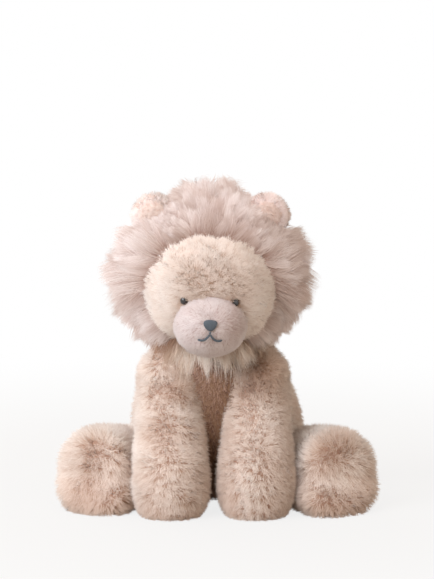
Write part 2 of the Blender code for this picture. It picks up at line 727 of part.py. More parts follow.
def tail_rows(inset):
    """Places and radii along the tail, from its root to where the tuft begins."""
    x, y, z = TAIL_ROOT
    low = TAIL_RADIUS + FLOOR_CLEARANCE
    rows = [
        (x + TAIL_REACH * out, y + TAIL_SETBACK * back, z + (low - z) * down, TAIL_RADIUS * wide)
        for out, back, down, wide in TAIL_ROW_SHARES
    ]
    rows = smooth_rows(rows, LIMB_ROWS)
    return rows[:, :3], rows[:, 3] - inset


def build_tail():
    """The tail's skin and stuffing, and the tuft that closes its end."""
    tuft_place = (TAIL_ROOT[0] + TAIL_REACH, TAIL_ROOT[1] + TAIL_SETBACK, TUFT_RADII[2] + FLOOR_CLEARANCE)
    belly = torso_form("tail_belly", -SEAM_GAP, CUTTERS)
    bed = ball("tail_bed", tuft_place, [r + SEAM_GAP for r in TUFT_RADII], CUTTERS, EAR_SIDES)
    skin = tube("tail_skin", *tail_rows(0), TAIL_BEVEL_STEPS, PARTS)
    cut(skin, belly)
    root = ball("tail_ball", TAIL_ROOT, [TAIL_ROOT_RADIUS] * 3, CUTTERS, CORE_SIDES)
    combine(skin, root, "UNION")
    cut(skin, bed, tube("tail_hollow", *tail_rows(TAIL_WALL), TAIL_BEVEL_STEPS, CUTTERS))
    finish(skin, "tail", "D3B8A4", 0.9)
    core = tube("tail_stuffing", *tail_rows(TAIL_WALL + FILL_GAP), TAIL_BEVEL_STEPS, PARTS)
    cut(core, belly, bed)
    finish(core, "tail", "F2EFE8", 0.95)
    tuft = ball("tail_tuft", tuft_place, TUFT_RADII, PARTS, EAR_SIDES)
    finish(tuft, "tail", "C9ACA1", 0.9)


for old in list(bpy.data.objects):
    bpy.data.objects.remove(old)

PARTS = new_collection("plush_lion")
CUTTERS = new_collection("cutters")
BODIES = {}

add_body("torso", (0, 0, 0))
add_body("neck", NECK_PIVOT)
add_body("head", NECK_PIVOT)
add_body("tail", TAIL_ROOT)
for limb_side, limb_word in ((LEFT, "left"), (RIGHT, "right")):
    add_body(limb_word + "_ear", ear_hinge(limb_side))
    add_body(limb_word + "_front_leg", shoulder_at(limb_side))
    add_body(limb_word + "_hind_leg", hip_at(limb_side))

build_torso()
build_neck()
build_head(build_muzzle())
build_mane()
build_ears()
for limb_side, limb_word in ((LEFT, "left"), (RIGHT, "right")):
    build_leg(limb_word, limb_side, "front")
    build_leg(limb_word, limb_side, "hind")
build_tail()
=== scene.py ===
"""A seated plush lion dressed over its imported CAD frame: padded cloth forms with combed pile.

Metres, +Z up, the lion faces -Y. Left is the side at -X, seen from the front.
"""

import math

import bpy
import numpy as np
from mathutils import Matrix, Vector


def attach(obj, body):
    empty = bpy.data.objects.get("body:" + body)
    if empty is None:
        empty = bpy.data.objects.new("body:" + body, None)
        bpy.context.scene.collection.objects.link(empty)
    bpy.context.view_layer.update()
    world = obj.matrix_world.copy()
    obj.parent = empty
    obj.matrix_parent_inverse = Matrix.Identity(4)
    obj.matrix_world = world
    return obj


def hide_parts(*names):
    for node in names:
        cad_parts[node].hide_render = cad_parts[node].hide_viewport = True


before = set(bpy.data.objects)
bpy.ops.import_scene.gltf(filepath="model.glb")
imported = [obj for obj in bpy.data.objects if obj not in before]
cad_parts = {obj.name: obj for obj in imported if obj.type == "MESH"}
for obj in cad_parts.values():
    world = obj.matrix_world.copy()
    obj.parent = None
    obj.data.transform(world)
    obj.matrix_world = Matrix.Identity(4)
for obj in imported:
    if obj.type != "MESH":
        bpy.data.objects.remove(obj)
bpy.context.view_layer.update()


# Studio: a plain pale floor and soft light from the upper left, seen a little from above.
# The background is white to the camera alone, so it adds no light of its own.
MM = 0.001
TARGET = np.array([0.0035, -0.065, 0.218])
CAMERA_DISTANCE = 2.2
CAMERA_ELEVATION = math.radians(7.5)
PHOTO_HEIGHT = 579
SENSOR = 36


def linear(hex_colour):
    """Each sRGB level c becomes c / 12.92 below 0.04045 and ((c + 0.055) / 1.055) ** 2.4 above."""
    levels = [int(hex_colour[i:i + 2], 16) / 255 for i in (0, 2, 4)]
    return [c / 12.92 if c <= 0.04045 else ((c + 0.055) / 1.055) ** 2.4 for c in levels] + [1.0]


def node(tree, kind, settings=None, **inputs):
    """Adds a shader node with its properties, and sets or links its inputs (index 0 is written i0)."""
    made = tree.nodes.new("ShaderNode" + kind)
    for name, value in (settings or {}).items():
        setattr(made, name, value)
    for name, value in inputs.items():
        key = int(name[1:]) if name[0] == "i" and name[1:].isdigit() else name.replace("_", " ")
        if isinstance(value, bpy.types.NodeSocket):
            tree.links.new(value, made.inputs[key])
        else:
            made.inputs[key].default_value = value
    return made


def new_material(name):
    """An empty material and its node tree."""
    material = bpy.data.materials.new(name)
    material.use_nodes = True
    material.node_tree.nodes.clear()
    return material, material.node_tree


def white_where_seen(tree, surface, white_kind, share=1.0):
    """Mixes a surface with a share of plain white for camera, glossy and transmission rays."""
    path = node(tree, "LightPath").outputs
    seen = path["Is Camera Ray"]
    for ray in ("Is Glossy Ray", "Is Transmission Ray"):
        seen = node(tree, "Math", {"operation": "MAXIMUM"}, i0=seen, i1=path[ray]).outputs[0]
    seen = node(tree, "Math", {"operation": "MULTIPLY"}, i0=seen, i1=share)
    white = node(tree, white_kind, Color=linear("FFFFFF"))
    return node(tree, "MixShader", i0=seen.outputs[0], i1=surface.outputs[0], i2=white.outputs[0])


camera = bpy.data.objects.new("camera", bpy.data.cameras.new("camera"))
camera.data.sensor_fit = "VERTICAL"
camera.data.sensor_height = SENSOR
camera.data.lens = CAMERA_DISTANCE * SENSOR / (PHOTO_HEIGHT * MM)
back = np.array([0, -math.cos(CAMERA_ELEVATION), math.sin(CAMERA_ELEVATION)])
camera.location = TARGET + CAMERA_DISTANCE * back
camera.rotation_euler = (math.radians(90) - CAMERA_ELEVATION, 0, 0)
bpy.context.scene.collection.objects.link(camera)
bpy.context.scene.camera = camera
bpy.context.scene.view_settings.view_transform = "Standard"

world = bpy.data.worlds.new("studio")
bpy.context.scene.world = world
world.use_nodes = True
world.node_tree.nodes.clear()
dim = node(world.node_tree, "Background", Color=linear("F2DFCD"), Strength=0.56)
sky = white_where_seen(world.node_tree, dim, "Background")
node(world.node_tree, "OutputWorld", Surface=sky.outputs[0])

LAMP_AIM = Vector((0, -0.05, 0.15))
# Each lamp: its name, place, width, watts and tint.
LAMPS = (
    ("key", (-2.0, -1.35, 1.8), 1.7, 78, "ECF4FF"),
    ("fill", (1.5, -2.0, 0.9), 2.0, 11, "FFF4EA"),
    ("top", (-0.2, 0.3, 2.0), 1.3, 8, "FFFFFF"),
    ("rear", (-1.2, 1.7, 1.1), 1.2, 8, "FFFFFF"),
)
for name, place, size, power, tint in LAMPS:
    lamp = bpy.data.objects.new(name, bpy.data.lights.new(name, "AREA"))
    lamp.data.size = size
    lamp.data.energy = power
    lamp.data.color = linear(tint)[:3]
    lamp.location = place
    lamp.rotation_euler = (LAMP_AIM - lamp.location).to_track_quat("-Z", "Y").to_euler()
    bpy.context.scene.collection.objects.link(lamp)

floor_mesh = bpy.data.meshes.new("floor")
floor_mesh.from_pydata([(-4, -4, 0), (4, -4, 0), (4, 4, 0), (-4, 4, 0)], [], [(0, 1, 2, 3)])
floor = bpy.data.objects.new("floor", floor_mesh)
bpy.context.scene.collection.objects.link(floor)
paper, tree = new_material("matt_white_paper")
sheet = node(tree, "BsdfPrincipled", Base_Color=linear("C2BBB3"), Roughness=0.9)
away = node(tree, "VectorMath", {"operation": "LENGTH"}, i0=node(tree, "TexCoord").outputs["Object"])
fade = node(tree, "MapRange", {"interpolation_type": "SMOOTHSTEP"}, Value=away.outputs["Value"],
            From_Min=0.2, From_Max=0.9, To_Min=0.82, To_Max=1.0)
bright = white_where_seen(tree, sheet, "Emission", fade.outputs["Result"])
node(tree, "OutputMaterial", Surface=bright.outputs[0])
floor_mesh.materials.append(paper)


# Torso: a sewn sack of long soft plush over fibre fill, heavier at the seat, leaning to the neck.
# The cloth is knitted, and its pile is about 12 mm long, brushed out and a little tangled.
TORSO_HEIGHT = 0.163
TORSO_HALF_WIDTH = 0.088
TORSO_HALF_DEPTH = 0.0686
TORSO_LEAN = 0.060
TORSO_SAG = 0.0065
# Share of the height and of the half width, from the neck to the seat.
TORSO_ROWS = (
    (1.00, 0.00), (0.99, 0.22), (0.95, 0.47), (0.87, 0.70), (0.75, 0.85), (0.60, 0.945),
    (0.43, 0.995), (0.27, 1.00), (0.14, 0.95), (0.055, 0.86), (0.013, 0.75), (0.00, 0.66), (0.00, 0.00),
)
# How far the cloth lies under the pile's mean surface, and how high the lowest of it lies.
PILE_SINK = 0.0072
BASE = 0.0008
# The height under which a sack spreads onto the floor.
SETTLE_HEIGHT = 0.034


def smooth_rows(rows, count):
    """Rows read at even steps along a Catmull-Rom curve through the given rows."""
    rows = np.asarray(rows, dtype=float)
    padded = np.vstack([2 * rows[0] - rows[1], rows, 2 * rows[-1] - rows[-2]])
    steps = np.linspace(0, len(rows) - 1, count)
    first = np.minimum(steps.astype(int), len(rows) - 2)
    t = (steps - first)[:, None]
    a, b, c, d = (padded[first + k] for k in range(4))
    square, cube = 2 * a - 5 * b + 4 * c - d, 3 * b - a - 3 * c + d
    return 0.5 * (2 * b + (c - a) * t + square * t**2 + cube * t**3)


def settle(points, sink, slump=0.0, forward=0.0):
    """Lets the lowest part of a form that was drawn in by the sink spread down to the floor, widen about
    each ring's middle by the slump, and move forward. All go by a share s, 1 at the form's foot and 0 a
    settle height above it, eased as 3 s squared less 2 s cubed."""
    z = points[..., 2]
    share = np.clip(1 - (z - sink) / SETTLE_HEIGHT, 0, 1)
    share = share**2 * (3 - 2 * share)
    middle = points[..., :2].mean(axis=1, keepdims=True)
    points[..., :2] += slump * share[..., None] * (points[..., :2] - middle)
    points[..., 1] -= forward * share
    points[..., 2] = np.maximum(z - (sink - BASE) * share, BASE)
    return points


def torso_points(sink, rings=44, sides=72):
    """Level ovals, each as wide as the torso's rows say at its height and flattened front to back. They
    are drawn in by the sink, lean forward evenly with their height, and sag a little to the right."""
    up, out = smooth_rows(TORSO_ROWS, rings).T
    turn = np.linspace(0, 2 * math.pi, sides, endpoint=False)
    wide = (TORSO_HALF_WIDTH - sink) * np.clip(out, 0, None)
    z = sink + (TORSO_HEIGHT - 2 * sink) * up
    x = wide[:, None] * np.cos(turn)
    y = wide[:, None] * np.sin(turn) * (TORSO_HALF_DEPTH - sink) / (TORSO_HALF_WIDTH - sink)
    z = np.broadcast_to(z[:, None], x.shape)
    x = x + TORSO_SAG * (1 - z / TORSO_HEIGHT)
    return settle(np.stack([x, y - z * TORSO_LEAN / TORSO_HEIGHT, z], 2), sink)


def in_torso(points, sink):
    """True where a point lies inside the torso drawn in by the sink: once the lean and the flattening are
    taken out, its distance from the upright axis is under the rows' half width at its height."""
    up, out = np.array(TORSO_ROWS[::-1][1:]).T
    share = np.clip(points[:, 2] / TORSO_HEIGHT, 0, 1)
    reach = np.interp(share, up, out) * (TORSO_HALF_WIDTH - sink)
    y = (points[:, 1] + points[:, 2] * TORSO_LEAN / TORSO_HEIGHT) * TORSO_HALF_WIDTH / TORSO_HALF_DEPTH
    return (np.hypot(points[:, 0], y) < reach) & (points[:, 2] < TORSO_HEIGHT - sink)


# Front legs: round sacks hung from ball seams at the shoulders, widest at the paws they stand on.
# The pile is the body's, brushed out and away from the leg's middle line.
SHOULDER = np.array([0.045, -0.075, 0.128])
SHOULDER_RADIUS = 0.0315
FRONT_PAW = np.array([0.042, -0.118])
FRONT_LEG_RADIUS = 0.037
# Share of the way down, share of the way to the paw, and share of the radius.
FRONT_ROWS = (
    (0.00, 0.00, 0.82), (0.234, 0.35, 0.86), (0.484, 0.72, 0.945), (0.70, 0.95, 1.00),
    (0.86, 1.00, 0.975), (0.947, 1.00, 0.84), (1.00, 1.00, 0.50),
)


def front_path(side):
    """The middle line and radius of a front leg, from its rounded shoulder down to the flat paw. The
    shoulder follows a quarter circle, with its sine as height and its cosine as radius."""
    shoulder = SHOULDER * [side, 1, 1]
    rise = np.radians([88, 66, 42, 18])
    cap = [
        (*(shoulder + [0, 0, SHOULDER_RADIUS * math.sin(a)]), SHOULDER_RADIUS * math.cos(a)) for a in rise
    ]
    paw = FRONT_PAW * [side, 1]
    down, ahead, wide = np.array(FRONT_ROWS).T
    leg = np.column_stack([
        shoulder[0] + (paw[0] - shoulder[0]) * ahead, shoulder[1] + (paw[1] - shoulder[1]) * ahead,
        shoulder[2] * (1 - down), FRONT_LEG_RADIUS * wide,
    ])
    return smooth_rows(np.vstack([cap, leg]), 46)


def unit(v):
    """Each row divided by its length."""
    return v / np.maximum(np.linalg.norm(v, axis=-1, keepdims=True), 1e-9)


def tube_rings(path, radii, up, sides=56):
    """Rings square to the path: the radius times the cosine of the turn across it, and the sine over it.
    Across is square to the path and to the up direction."""
    ahead = unit(np.gradient(path, axis=0))
    across = unit(np.cross(ahead, up))
    over = np.cross(across, ahead)
    turn = np.linspace(0, 2 * math.pi, sides, endpoint=False)
    ring = across[:, None] * np.cos(turn)[:, None] + over[:, None] * np.sin(turn)[:, None]
    return path[:, None] + ring * radii[:, None, None]


# Hind legs: heavier sacks lying on the floor, their round soles towards the viewer.
# The pile of each sole is brushed out from its middle.
HIP = np.array([0.058, -0.022])
HIP_RADIUS = 0.0375
HIND_LEG_RADIUS = 0.0405
FEET = {-1: np.array([-0.115, -0.088]), 1: np.array([0.122, -0.096])}
HIND_LEG_BOW = 0.009
# Share of the way to the foot, share of the bow, and share of the radius.
HIND_ROWS = (
    (0.0, 0.0, 0.93), (0.22, 0.70, 0.88), (0.48, 1.0, 0.90), (0.75, 0.62, 0.96), (1.0, 0.0, 1.0),
)
SOLE_DEPTH = 0.024
# Share of an end's depth and of its radius, towards its middle.
SOLE_ROWS = (
    (0.25, 0.995), (0.45, 0.95), (0.66, 0.85), (0.82, 0.70), (0.93, 0.50), (0.985, 0.26), (1.0, 0.06),
)


def hind_path(side, sink):
    """The middle line and radii of a hind leg from its rounded hip to its sole, drawn in by the sink. The
    line runs from hip to foot and bows outwards as its rows say, with a rounded end beyond each."""
    hip = HIP * [side, 1]
    along = FEET[side] - hip
    outward = unit(np.array([-along[1], along[0]])) * side
    ahead, bow, wide = np.array(HIND_ROWS).T
    places = hip + along * ahead[:, None] + outward * (HIND_LEG_BOW * bow)[:, None]
    leg = smooth_rows(np.column_stack([places, HIND_LEG_RADIUS * wide]), 30)
    # The leg lies on the floor, so its middle line is as high as its radius.
    path, radii = leg, leg[:, 2] - sink
    out, share = np.array(SOLE_ROWS).T
    first = path[0] + unit(path[0] - path[1]) * ((HIP_RADIUS - sink) * out)[:, None]
    last = path[-1] + unit(path[-1] - path[-2]) * ((SOLE_DEPTH - sink) * out)[:, None]
    path = np.vstack([first[::-1], path, last])
    return path, np.concatenate([radii[0] * share[::-1], radii, radii[-1] * share])


LEGS = {}
for side, word in ((-1, "left"), (1, "right")):
    rows = front_path(side)
    LEGS[word + "_front_leg"] = (rows[:, :3], rows[:, 3])
    LEGS[word + "_hind_leg"] = hind_path(side, 0)


def near_path(points, path, radii):
    """The least signed distance from points to a tube: distance to each path piece less its radius."""
    best = np.full(len(points), 1.0)
    for a, b, ra, rb in zip(path[:-1], path[1:], radii[:-1], radii[1:]):
        step = b - a
        t = np.clip((points - a) @ step / max(step @ step, 1e-12), 0, 1)
        gap = np.linalg.norm(points - a - t[:, None] * step, axis=1) - (ra + (rb - ra) * t)
        best = np.minimum(best, gap)
    return best


def outside_legs(points, sink, skip=()):
    """True where a point lies outside every leg drawn in by the sink, apart from those skipped."""
    clear = np.ones(len(points), dtype=bool)
    for name, (path, radii) in LEGS.items():
        if name not in skip:
            clear &= near_path(points, path[::3], radii[::3] - sink) > 0
    return clear


# Sacks of the torso and legs: knitted cloth with the same brushed plush, sewn together at ball seams.
# They are made together, because the pile of each stops where its neighbours press on it. Below the beard
# it is painted dark as the head's painted shadow, and on the chest between the front legs it is short and
# painted brown as painted shade.
PILE_LENGTH = 0.0118
FOOT_PILE = 0.0132
CHEST_PILE = 0.75 * PILE_LENGTH
SOLE_PILE = 0.006
# How far the feet widen on the floor, as a share, and how far they slip forward.
FOOT_SPREAD = (0.38, 0.018)
# Roots tried on a sack, and the most strands kept of them.
TORSO_PICKS, TORSO_STRANDS = 74000, 39500
LEG_PICKS, LEG_STRANDS, SOLE_STRANDS = 42000, 33000, 4000
# How deep in a neighbour a root may lie and still be kept, and the height under which none is.
TORSO_MEET, LEG_MEET = 0.010, 0.012
TORSO_FOOT, LEG_FOOT = 0.004, 0.003
CHEST_HALF_WIDTH = 0.022
# The painted shadow of the head below the beard on each front leg: its height and reach, its offset from
# the middle and the middle's own, and its width and how much more that is on the right.
HEAD_SHADOW_HEIGHT, HEAD_SHADOW_RISE = 0.137, 0.026
HEAD_SHADOW_OFFSET, HEAD_SHADOW_SHIFT = 0.040, 0.006
HEAD_SHADOW_WIDTH, HEAD_SHADOW_DIFFERENCE = 0.0175, 0.0045


def lay_mesh(name, points, faces):
    """A linked object whose mesh has these points and triangles, smoothly shaded."""
    mesh = bpy.data.meshes.new(name)
    mesh.vertices.add(len(points))
    mesh.vertices.foreach_set("co", np.ascontiguousarray(points, np.float32).ravel())
    mesh.loops.add(faces.size)
    mesh.loops.foreach_set("vertex_index", np.ascontiguousarray(faces, np.int32).ravel())
    mesh.polygons.add(len(faces))
    mesh.polygons.foreach_set("loop_start", np.arange(0, faces.size, faces.shape[1], dtype=np.int32))
    mesh.polygons.foreach_set("use_smooth", np.ones(len(faces), dtype=bool))
    mesh.update(calc_edges=True)
    mesh.validate()
    piece = bpy.data.objects.new(name, mesh)
    bpy.context.scene.collection.objects.link(piece)
    return piece


def closed_form(name, grid):
    """A form from rings of points (rings x sides x 3), with a pole at the middle of each end ring. Its
    faces are turned round if the volume they enclose is negative, so that they point outwards."""
    rings, sides, _ = grid.shape
    ends = np.stack([grid[0].mean(0), grid[-1].mean(0)])
    points = np.vstack([grid.reshape(-1, 3), ends])
    ring, side = np.meshgrid(np.arange(rings - 1), np.arange(sides), indexing="ij")
    a = (ring * sides + side).ravel()
    b = (ring * sides + (side + 1) % sides).ravel()
    walls = np.vstack([np.stack([a, a + sides, b + sides], 1), np.stack([a, b + sides, b], 1)])
    here = np.arange(sides)
    after = (here + 1) % sides
    first = np.stack([here, after, np.full(sides, rings * sides)], 1)
    last = np.stack([after, here, np.full(sides, rings * sides + 1)], 1)
    last[:, :2] += (rings - 1) * sides
    faces = np.vstack([walls, first, last])
    corner = points[faces]
    volume = np.einsum("ij,ij->i", corner[:, 0], np.cross(corner[:, 1], corner[:, 2])).sum()
    return lay_mesh(name, points, faces if volume > 0 else faces[:, ::-1])


def knit_cloth(name, root, thread=1.4):
    """Knitted backing cloth: loops a thread apart in millimetres, in the dark warm tone of the roots,
    which is partly painted shade for the depth of the pile.
    """
    material, tree = new_material(name)
    place = node(tree, "TexCoord")
    loops = node(tree, "TexVoronoi", Vector=place.outputs["Object"], Scale=1 / (thread * MM))
    tint = node(tree, "TexNoise", Vector=place.outputs["Object"], Scale=1 / (18 * MM), Detail=3.0)
    colour = node(tree, "ValToRGB", Fac=tint.outputs["Fac"])
    colour.color_ramp.elements[0].color = [0.72 * c for c in linear(root)[:3]] + [1.0]
    colour.color_ramp.elements[1].color = linear(root)
    bump = node(tree, "Bump", Strength=0.5, Distance=0.4 * MM, Height=loops.outputs["Distance"])
    cloth = node(tree, "BsdfPrincipled", Base_Color=colour.outputs["Color"], Roughness=0.95,
                 Normal=bump.outputs["Normal"])
    node(tree, "OutputMaterial", Surface=cloth.outputs[0])
    return material


def plush(name, stops, low_tone, high_tone, roughness=0.7, sheen=0.25):
    """Acrylic pile: v of the strand's map runs from root to tip through the stops, u is its own tone. The
    darker root stops are partly the pile's own colour and partly painted shade for its depth.
    """
    material, tree = new_material(name)
    strand = node(tree, "UVMap", {"uv_map": "OFBake"})
    axes = node(tree, "SeparateXYZ", Vector=strand.outputs["UV"])
    along = node(tree, "ValToRGB", Fac=axes.outputs["Y"])
    ramp = along.color_ramp
    while len(ramp.elements) < len(stops):
        ramp.elements.new(0.5)
    for stop, (spot, colour) in zip(ramp.elements, stops):
        stop.position = spot
        stop.color = linear(colour)
    tone = node(tree, "ValToRGB", Fac=axes.outputs["X"])
    for stop, colour in zip(tone.color_ramp.elements, (low_tone, high_tone)):
        stop.color = linear(colour)
    mixed = node(tree, "Mix", {"data_type": "RGBA", "blend_type": "MULTIPLY"}, i0=1.0,
                 i6=along.outputs["Color"], i7=tone.outputs["Color"])
    fur = node(tree, "BsdfPrincipled", Base_Color=mixed.outputs[2], Roughness=roughness,
               Sheen_Weight=sheen, Sheen_Roughness=0.5)
    node(tree, "OutputMaterial", Surface=fur.outputs[0])
    return material


def swirl(points, size, seed, waves=5):
    """A slow random vector field: a sum of sine waves of about the given wavelength."""
    draw = np.random.default_rng(seed)
    knots = unit(draw.normal(size=(waves, 3))) * (2 * math.pi / size)
    knots = knots * draw.uniform(0.7, 1.4, (waves, 1))
    lean = draw.normal(size=(waves, 3)) / math.sqrt(waves)
    return np.sin(points @ knots.T + draw.uniform(0, 2 * math.pi, waves)) @ lean * math.sqrt(2)


def roots_on(piece, count, draw):
    """Random places spread evenly over a piece, with the smooth normal at each. A triangle is drawn by its
    area, and a place in it by two shares of its sides, each taken from 1 where they add to more."""
    mesh = piece.data
    mesh.calc_loop_triangles()
    corners = np.empty(len(mesh.loop_triangles) * 3, dtype=np.int32)
    mesh.loop_triangles.foreach_get("vertices", corners)
    spots = np.empty(len(mesh.vertices) * 3, dtype=np.float32)
    mesh.vertices.foreach_get("co", spots)
    normals = np.empty(len(mesh.vertices) * 3, dtype=np.float32)
    mesh.vertex_normals.foreach_get("vector", normals)
    spots, normals = spots.reshape(-1, 3), normals.reshape(-1, 3)
    corners = corners.reshape(-1, 3)
    a, b, c = (spots[corners[:, k]] for k in range(3))
    area = np.linalg.norm(np.cross(b - a, c - a), axis=1)
    pick = draw.choice(len(corners), count, p=area / area.sum())
    share = draw.random((count, 2))
    over = share.sum(1) > 1
    share[over] = 1 - share[over]
    weights = np.column_stack([1 - share.sum(1), share])[:, :, None]
    return (spots[corners[pick]] * weights).sum(1), unit((normals[corners[pick]] * weights).sum(1))


def nearest(points, centres, block=4000):
    """The index of the nearest centre for each point, from |c|^2 - 2 p.c in blocks."""
    size = (centres**2).sum(1)
    blocks = (points[i:i + block] for i in range(0, len(points), block))
    return np.concatenate([np.argmin(size - 2 * (part @ centres.T), axis=1) for part in blocks])


# Where along a strand its ribbon has points, up to the tip.
STRAND_ROWS = np.array([0.0, 0.38, 0.74, 1.0])
# How far a strand's sideways wave runs from root to tip, in radians, and about where the key lamp is.
WAVE_TURN = 5.0
TO_KEY = np.array([-0.66, -0.43, 0.6])


def beside(direction, ahead):
    """The part of each direction that is square to each step, at unit length."""
    return unit(direction - (direction * ahead).sum(-1, keepdims=True) * ahead)


def strand_lines(draw, roots, normals, length, comb, lift, bend, stray, curl, clumps, uneven, rows):
    """Middle lines of strands. Each leaves its root along normal * lift + comb + noise, bends as t squared
    until its tip is a length away, waves sideways as a sine, and draws towards the middle strand of its
    clump by a share times t to the 1.5. A clump is a count of strands and that share. None goes below
    the floor. The middle strands of the last clumps, the locks, are given too."""
    count = len(roots)
    leaders = []
    for many, _ in clumps:
        chosen = draw.choice(count, max(8, count // many), replace=False)
        leaders.append(chosen[nearest(roots.astype(np.float32), roots[chosen].astype(np.float32))])
    length = np.broadcast_to(length, count) * draw.uniform(0.8, 1.12, count)
    length = length * np.exp(uneven * draw.normal(size=count))[leaders[-1]]
    start = unit(normals * lift + comb + stray * draw.normal(size=(count, 3)))
    side = unit(np.cross(start, unit(draw.normal(size=(count, 3)))))
    over = np.asarray(bend) + 0.5 * comb
    t = rows[None, :, None]
    phase = 2 * math.pi * draw.random((count, 1, 1))
    wave = np.sin(phase + WAVE_TURN * t) - np.sin(phase)
    length = (length / np.linalg.norm(start + over, axis=1))[:, None, None]
    over = np.broadcast_to(over, (count, 3))[:, None]
    lines = roots[:, None] + length * (t * start[:, None] + t**2 * over + curl * wave * side[:, None])
    for leader, (_, pull) in zip(leaders, clumps):
        lines = lines + pull * t**1.5 * (lines[leader] - lines)
    lines[..., 2] = np.maximum(lines[..., 2], BASE * (0.5 + 0.5 * draw.random((count, 1))))
    return lines, leaders[-1]


def ribbons(draw, lines, normals, width, rows, soften, scatter):
    """Points, triangles and shading normals of one ribbon a strand, whose width falls as the root of 1 - t
    squared to a point. Each faces the front or the back, whichever its cloth does, and the key lamp where
    that lights the cloth, with some scatter. Shading normals lean from the ribbon's own to the cloth's by
    the soften share."""
    count, steps = len(lines), len(rows) - 1
    ahead = unit(lines[:, 1:] - lines[:, :-1])
    ahead_or_back = np.where(normals[:, 1] < 0.6 + 0.12 * draw.normal(size=count), -1, 1)
    seen = unit(0.8 * normals + ahead_or_back[:, None] * [0, 0.8, 0] + [0, 0, 0.2])
    lit = np.clip(1.8 * normals @ TO_KEY, 0, 1)[:, None, None]
    face = beside(seen[:, None], ahead) + lit * beside(TO_KEY, ahead)
    face = face + scatter * (1 - 0.82 * lit) * draw.normal(size=(count, 1, 3))
    across = unit(np.cross(ahead, face))
    taper = np.sqrt(1 - rows[:-1] ** 2)[None, :, None]
    half = across * (width / 2) * taper * draw.uniform(0.7, 1.3, (count, 1, 1))
    edges = np.stack([lines[:, :-1] - half, lines[:, :-1] + half], 2).reshape(count, 2 * steps, 3)
    points = np.concatenate([edges, lines[:, -1:]], 1).reshape(-1, 3)
    low = np.arange(steps - 1) * 2
    tip = [[2 * steps - 2, 2 * steps - 1, 2 * steps]]
    ribbon = np.vstack([
        np.stack([low, low + 1, low + 3], 1), np.stack([low, low + 3, low + 2], 1), tip])
    faces = (np.arange(count)[:, None, None] * (2 * steps + 1) + ribbon).reshape(-1, 3)
    flat = np.cross(across, ahead)
    flat = flat * np.sign((flat * face).sum(-1, keepdims=True))
    shade = unit(soften * normals[:, None] + (1 - soften) * flat)
    shade = np.concatenate([np.repeat(shade, 2, axis=1), shade[:, -1:]], 1).reshape(-1, 3)
    return points, faces, shade


def grow(name, body, roots, normals, length, comb, seed, material, slot, lift=1.0, width=0.55 * MM,
         bend=(0, 0, -0.12), stray=0.26, curl=0.08, clumps=((9, 0.26),), uneven=0.0, rows=STRAND_ROWS,
         soften=0.7, scatter=0.45, tone=0.0, shown=1.0):
    """Pile on a cloth's roots, with a map for its plush: u is the strand's own tone, which its lock
    shares in part, and v is the height along it. Where the shown share is under 1 the pile keeps its root
    colours further up: in curled pile, and elsewhere as painted shade. Light passes through fine pile, so
    it casts no shadow on itself; the cloth under it does, and the pile's darker roots are partly painted
    shade for its depth."""
    draw = np.random.default_rng(seed)
    count, steps = len(roots), len(rows) - 1
    lines, locks = strand_lines(
        draw, roots, normals, length, comb, lift, bend, stray, curl, clumps, uneven, rows)
    points, faces, shade = ribbons(draw, lines, normals, width, rows, soften, scatter)
    lock_tone = 1.6 * uneven * draw.normal(size=count)[locks]
    own = np.clip(0.5 + 0.15 * draw.normal(size=count) + lock_tone + tone, 0.02, 0.98)
    # Two strands carry the ends of the tones, so that the map of every pile spans the same square.
    own[:2] = (0.02, 0.98)
    height = np.append(np.repeat(rows[:-1], 2), 1.0) * np.broadcast_to(shown, count)[:, None]
    sway = np.append(np.tile([-0.01, 0.01], steps), 0.0)
    tones = np.broadcast_to(own[:, None] + sway, height.shape)
    uv = np.stack([tones, height * 0.98 + 0.01], 2).reshape(-1, 2)
    piece = lay_mesh(name, points, faces)
    layer = piece.data.uv_layers.new(name="OFBake")
    layer.uv.foreach_set("vector", uv[faces.ravel()].astype(np.float32).ravel())
    piece.data.normals_split_custom_set_from_vertices(shade)
    piece.data.materials.append(material)
    piece.visible_shadow = False
    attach(piece, body)


def fit(piece, body, material, stands_for):
    """Gives a piece its material, the body that it rides and the CAD node that it stands for."""
    piece.data.materials.append(material)
    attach(piece, body)
    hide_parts(stands_for)


def dress(piece, body, cloth, stands_for):
    """Fits a form of cloth: gives it its material, the body that it rides and the CAD node that it stands
    for.
    """
    fit(piece, body, cloth, stands_for)


def brushed(points, normals, away_from, weight, down, seed, size=0.035, tangle=0.13, tousle=0.17):
    """Comb direction: away from a middle line within the surface, down by a share, with slow swirls
    and small tousled locks."""
    out = unit(points - away_from)
    out -= (out * normals).sum(1, keepdims=True) * normals
    drop = np.array([0, 0, -1.0]) - normals * -normals[:, 2:3]
    turns = tangle * swirl(points, size, seed) + tousle * swirl(points, 0.006, seed + 500, waves=9)
    turns -= (turns * normals).sum(1, keepdims=True) * normals
    return weight * out + down * drop + turns


def patches(points, size, seed, strength=0.16):
    """Tone of the pile that drifts over the surface in soft patches."""
    return strength * swirl(points, size, seed)[:, 0]


def bell(*offsets):
    """1 in the middle of a place and fading around it: e to minus the sum of the squared offsets."""
    return np.exp(-sum(offset**2 for offset in offsets))


def fade(values, end):
    """1 at or below zero, falling evenly to nothing at the end."""
    return np.clip(1 - values / end, 0, 1)


body_cloth = knit_cloth("knitted_body_backing", "C09A84")
body_plush = plush("brushed_body_plush", (
    (0.0, "BC9276"), (0.28, "D9C2AF"), (0.6, "EADED2"), (1.0, "FAF5EF"),
), "DCC9BD", "FFFCFA")
# The chest's plush is painted dark brown: painted shade between the front legs.
chest_shade_plush = plush("painted_shade_chest_plush", (
    (0.0, "5C3A26"), (0.4, "896248"), (1.0, "A98767"),
), "D0BDB1", "FFFCFA")

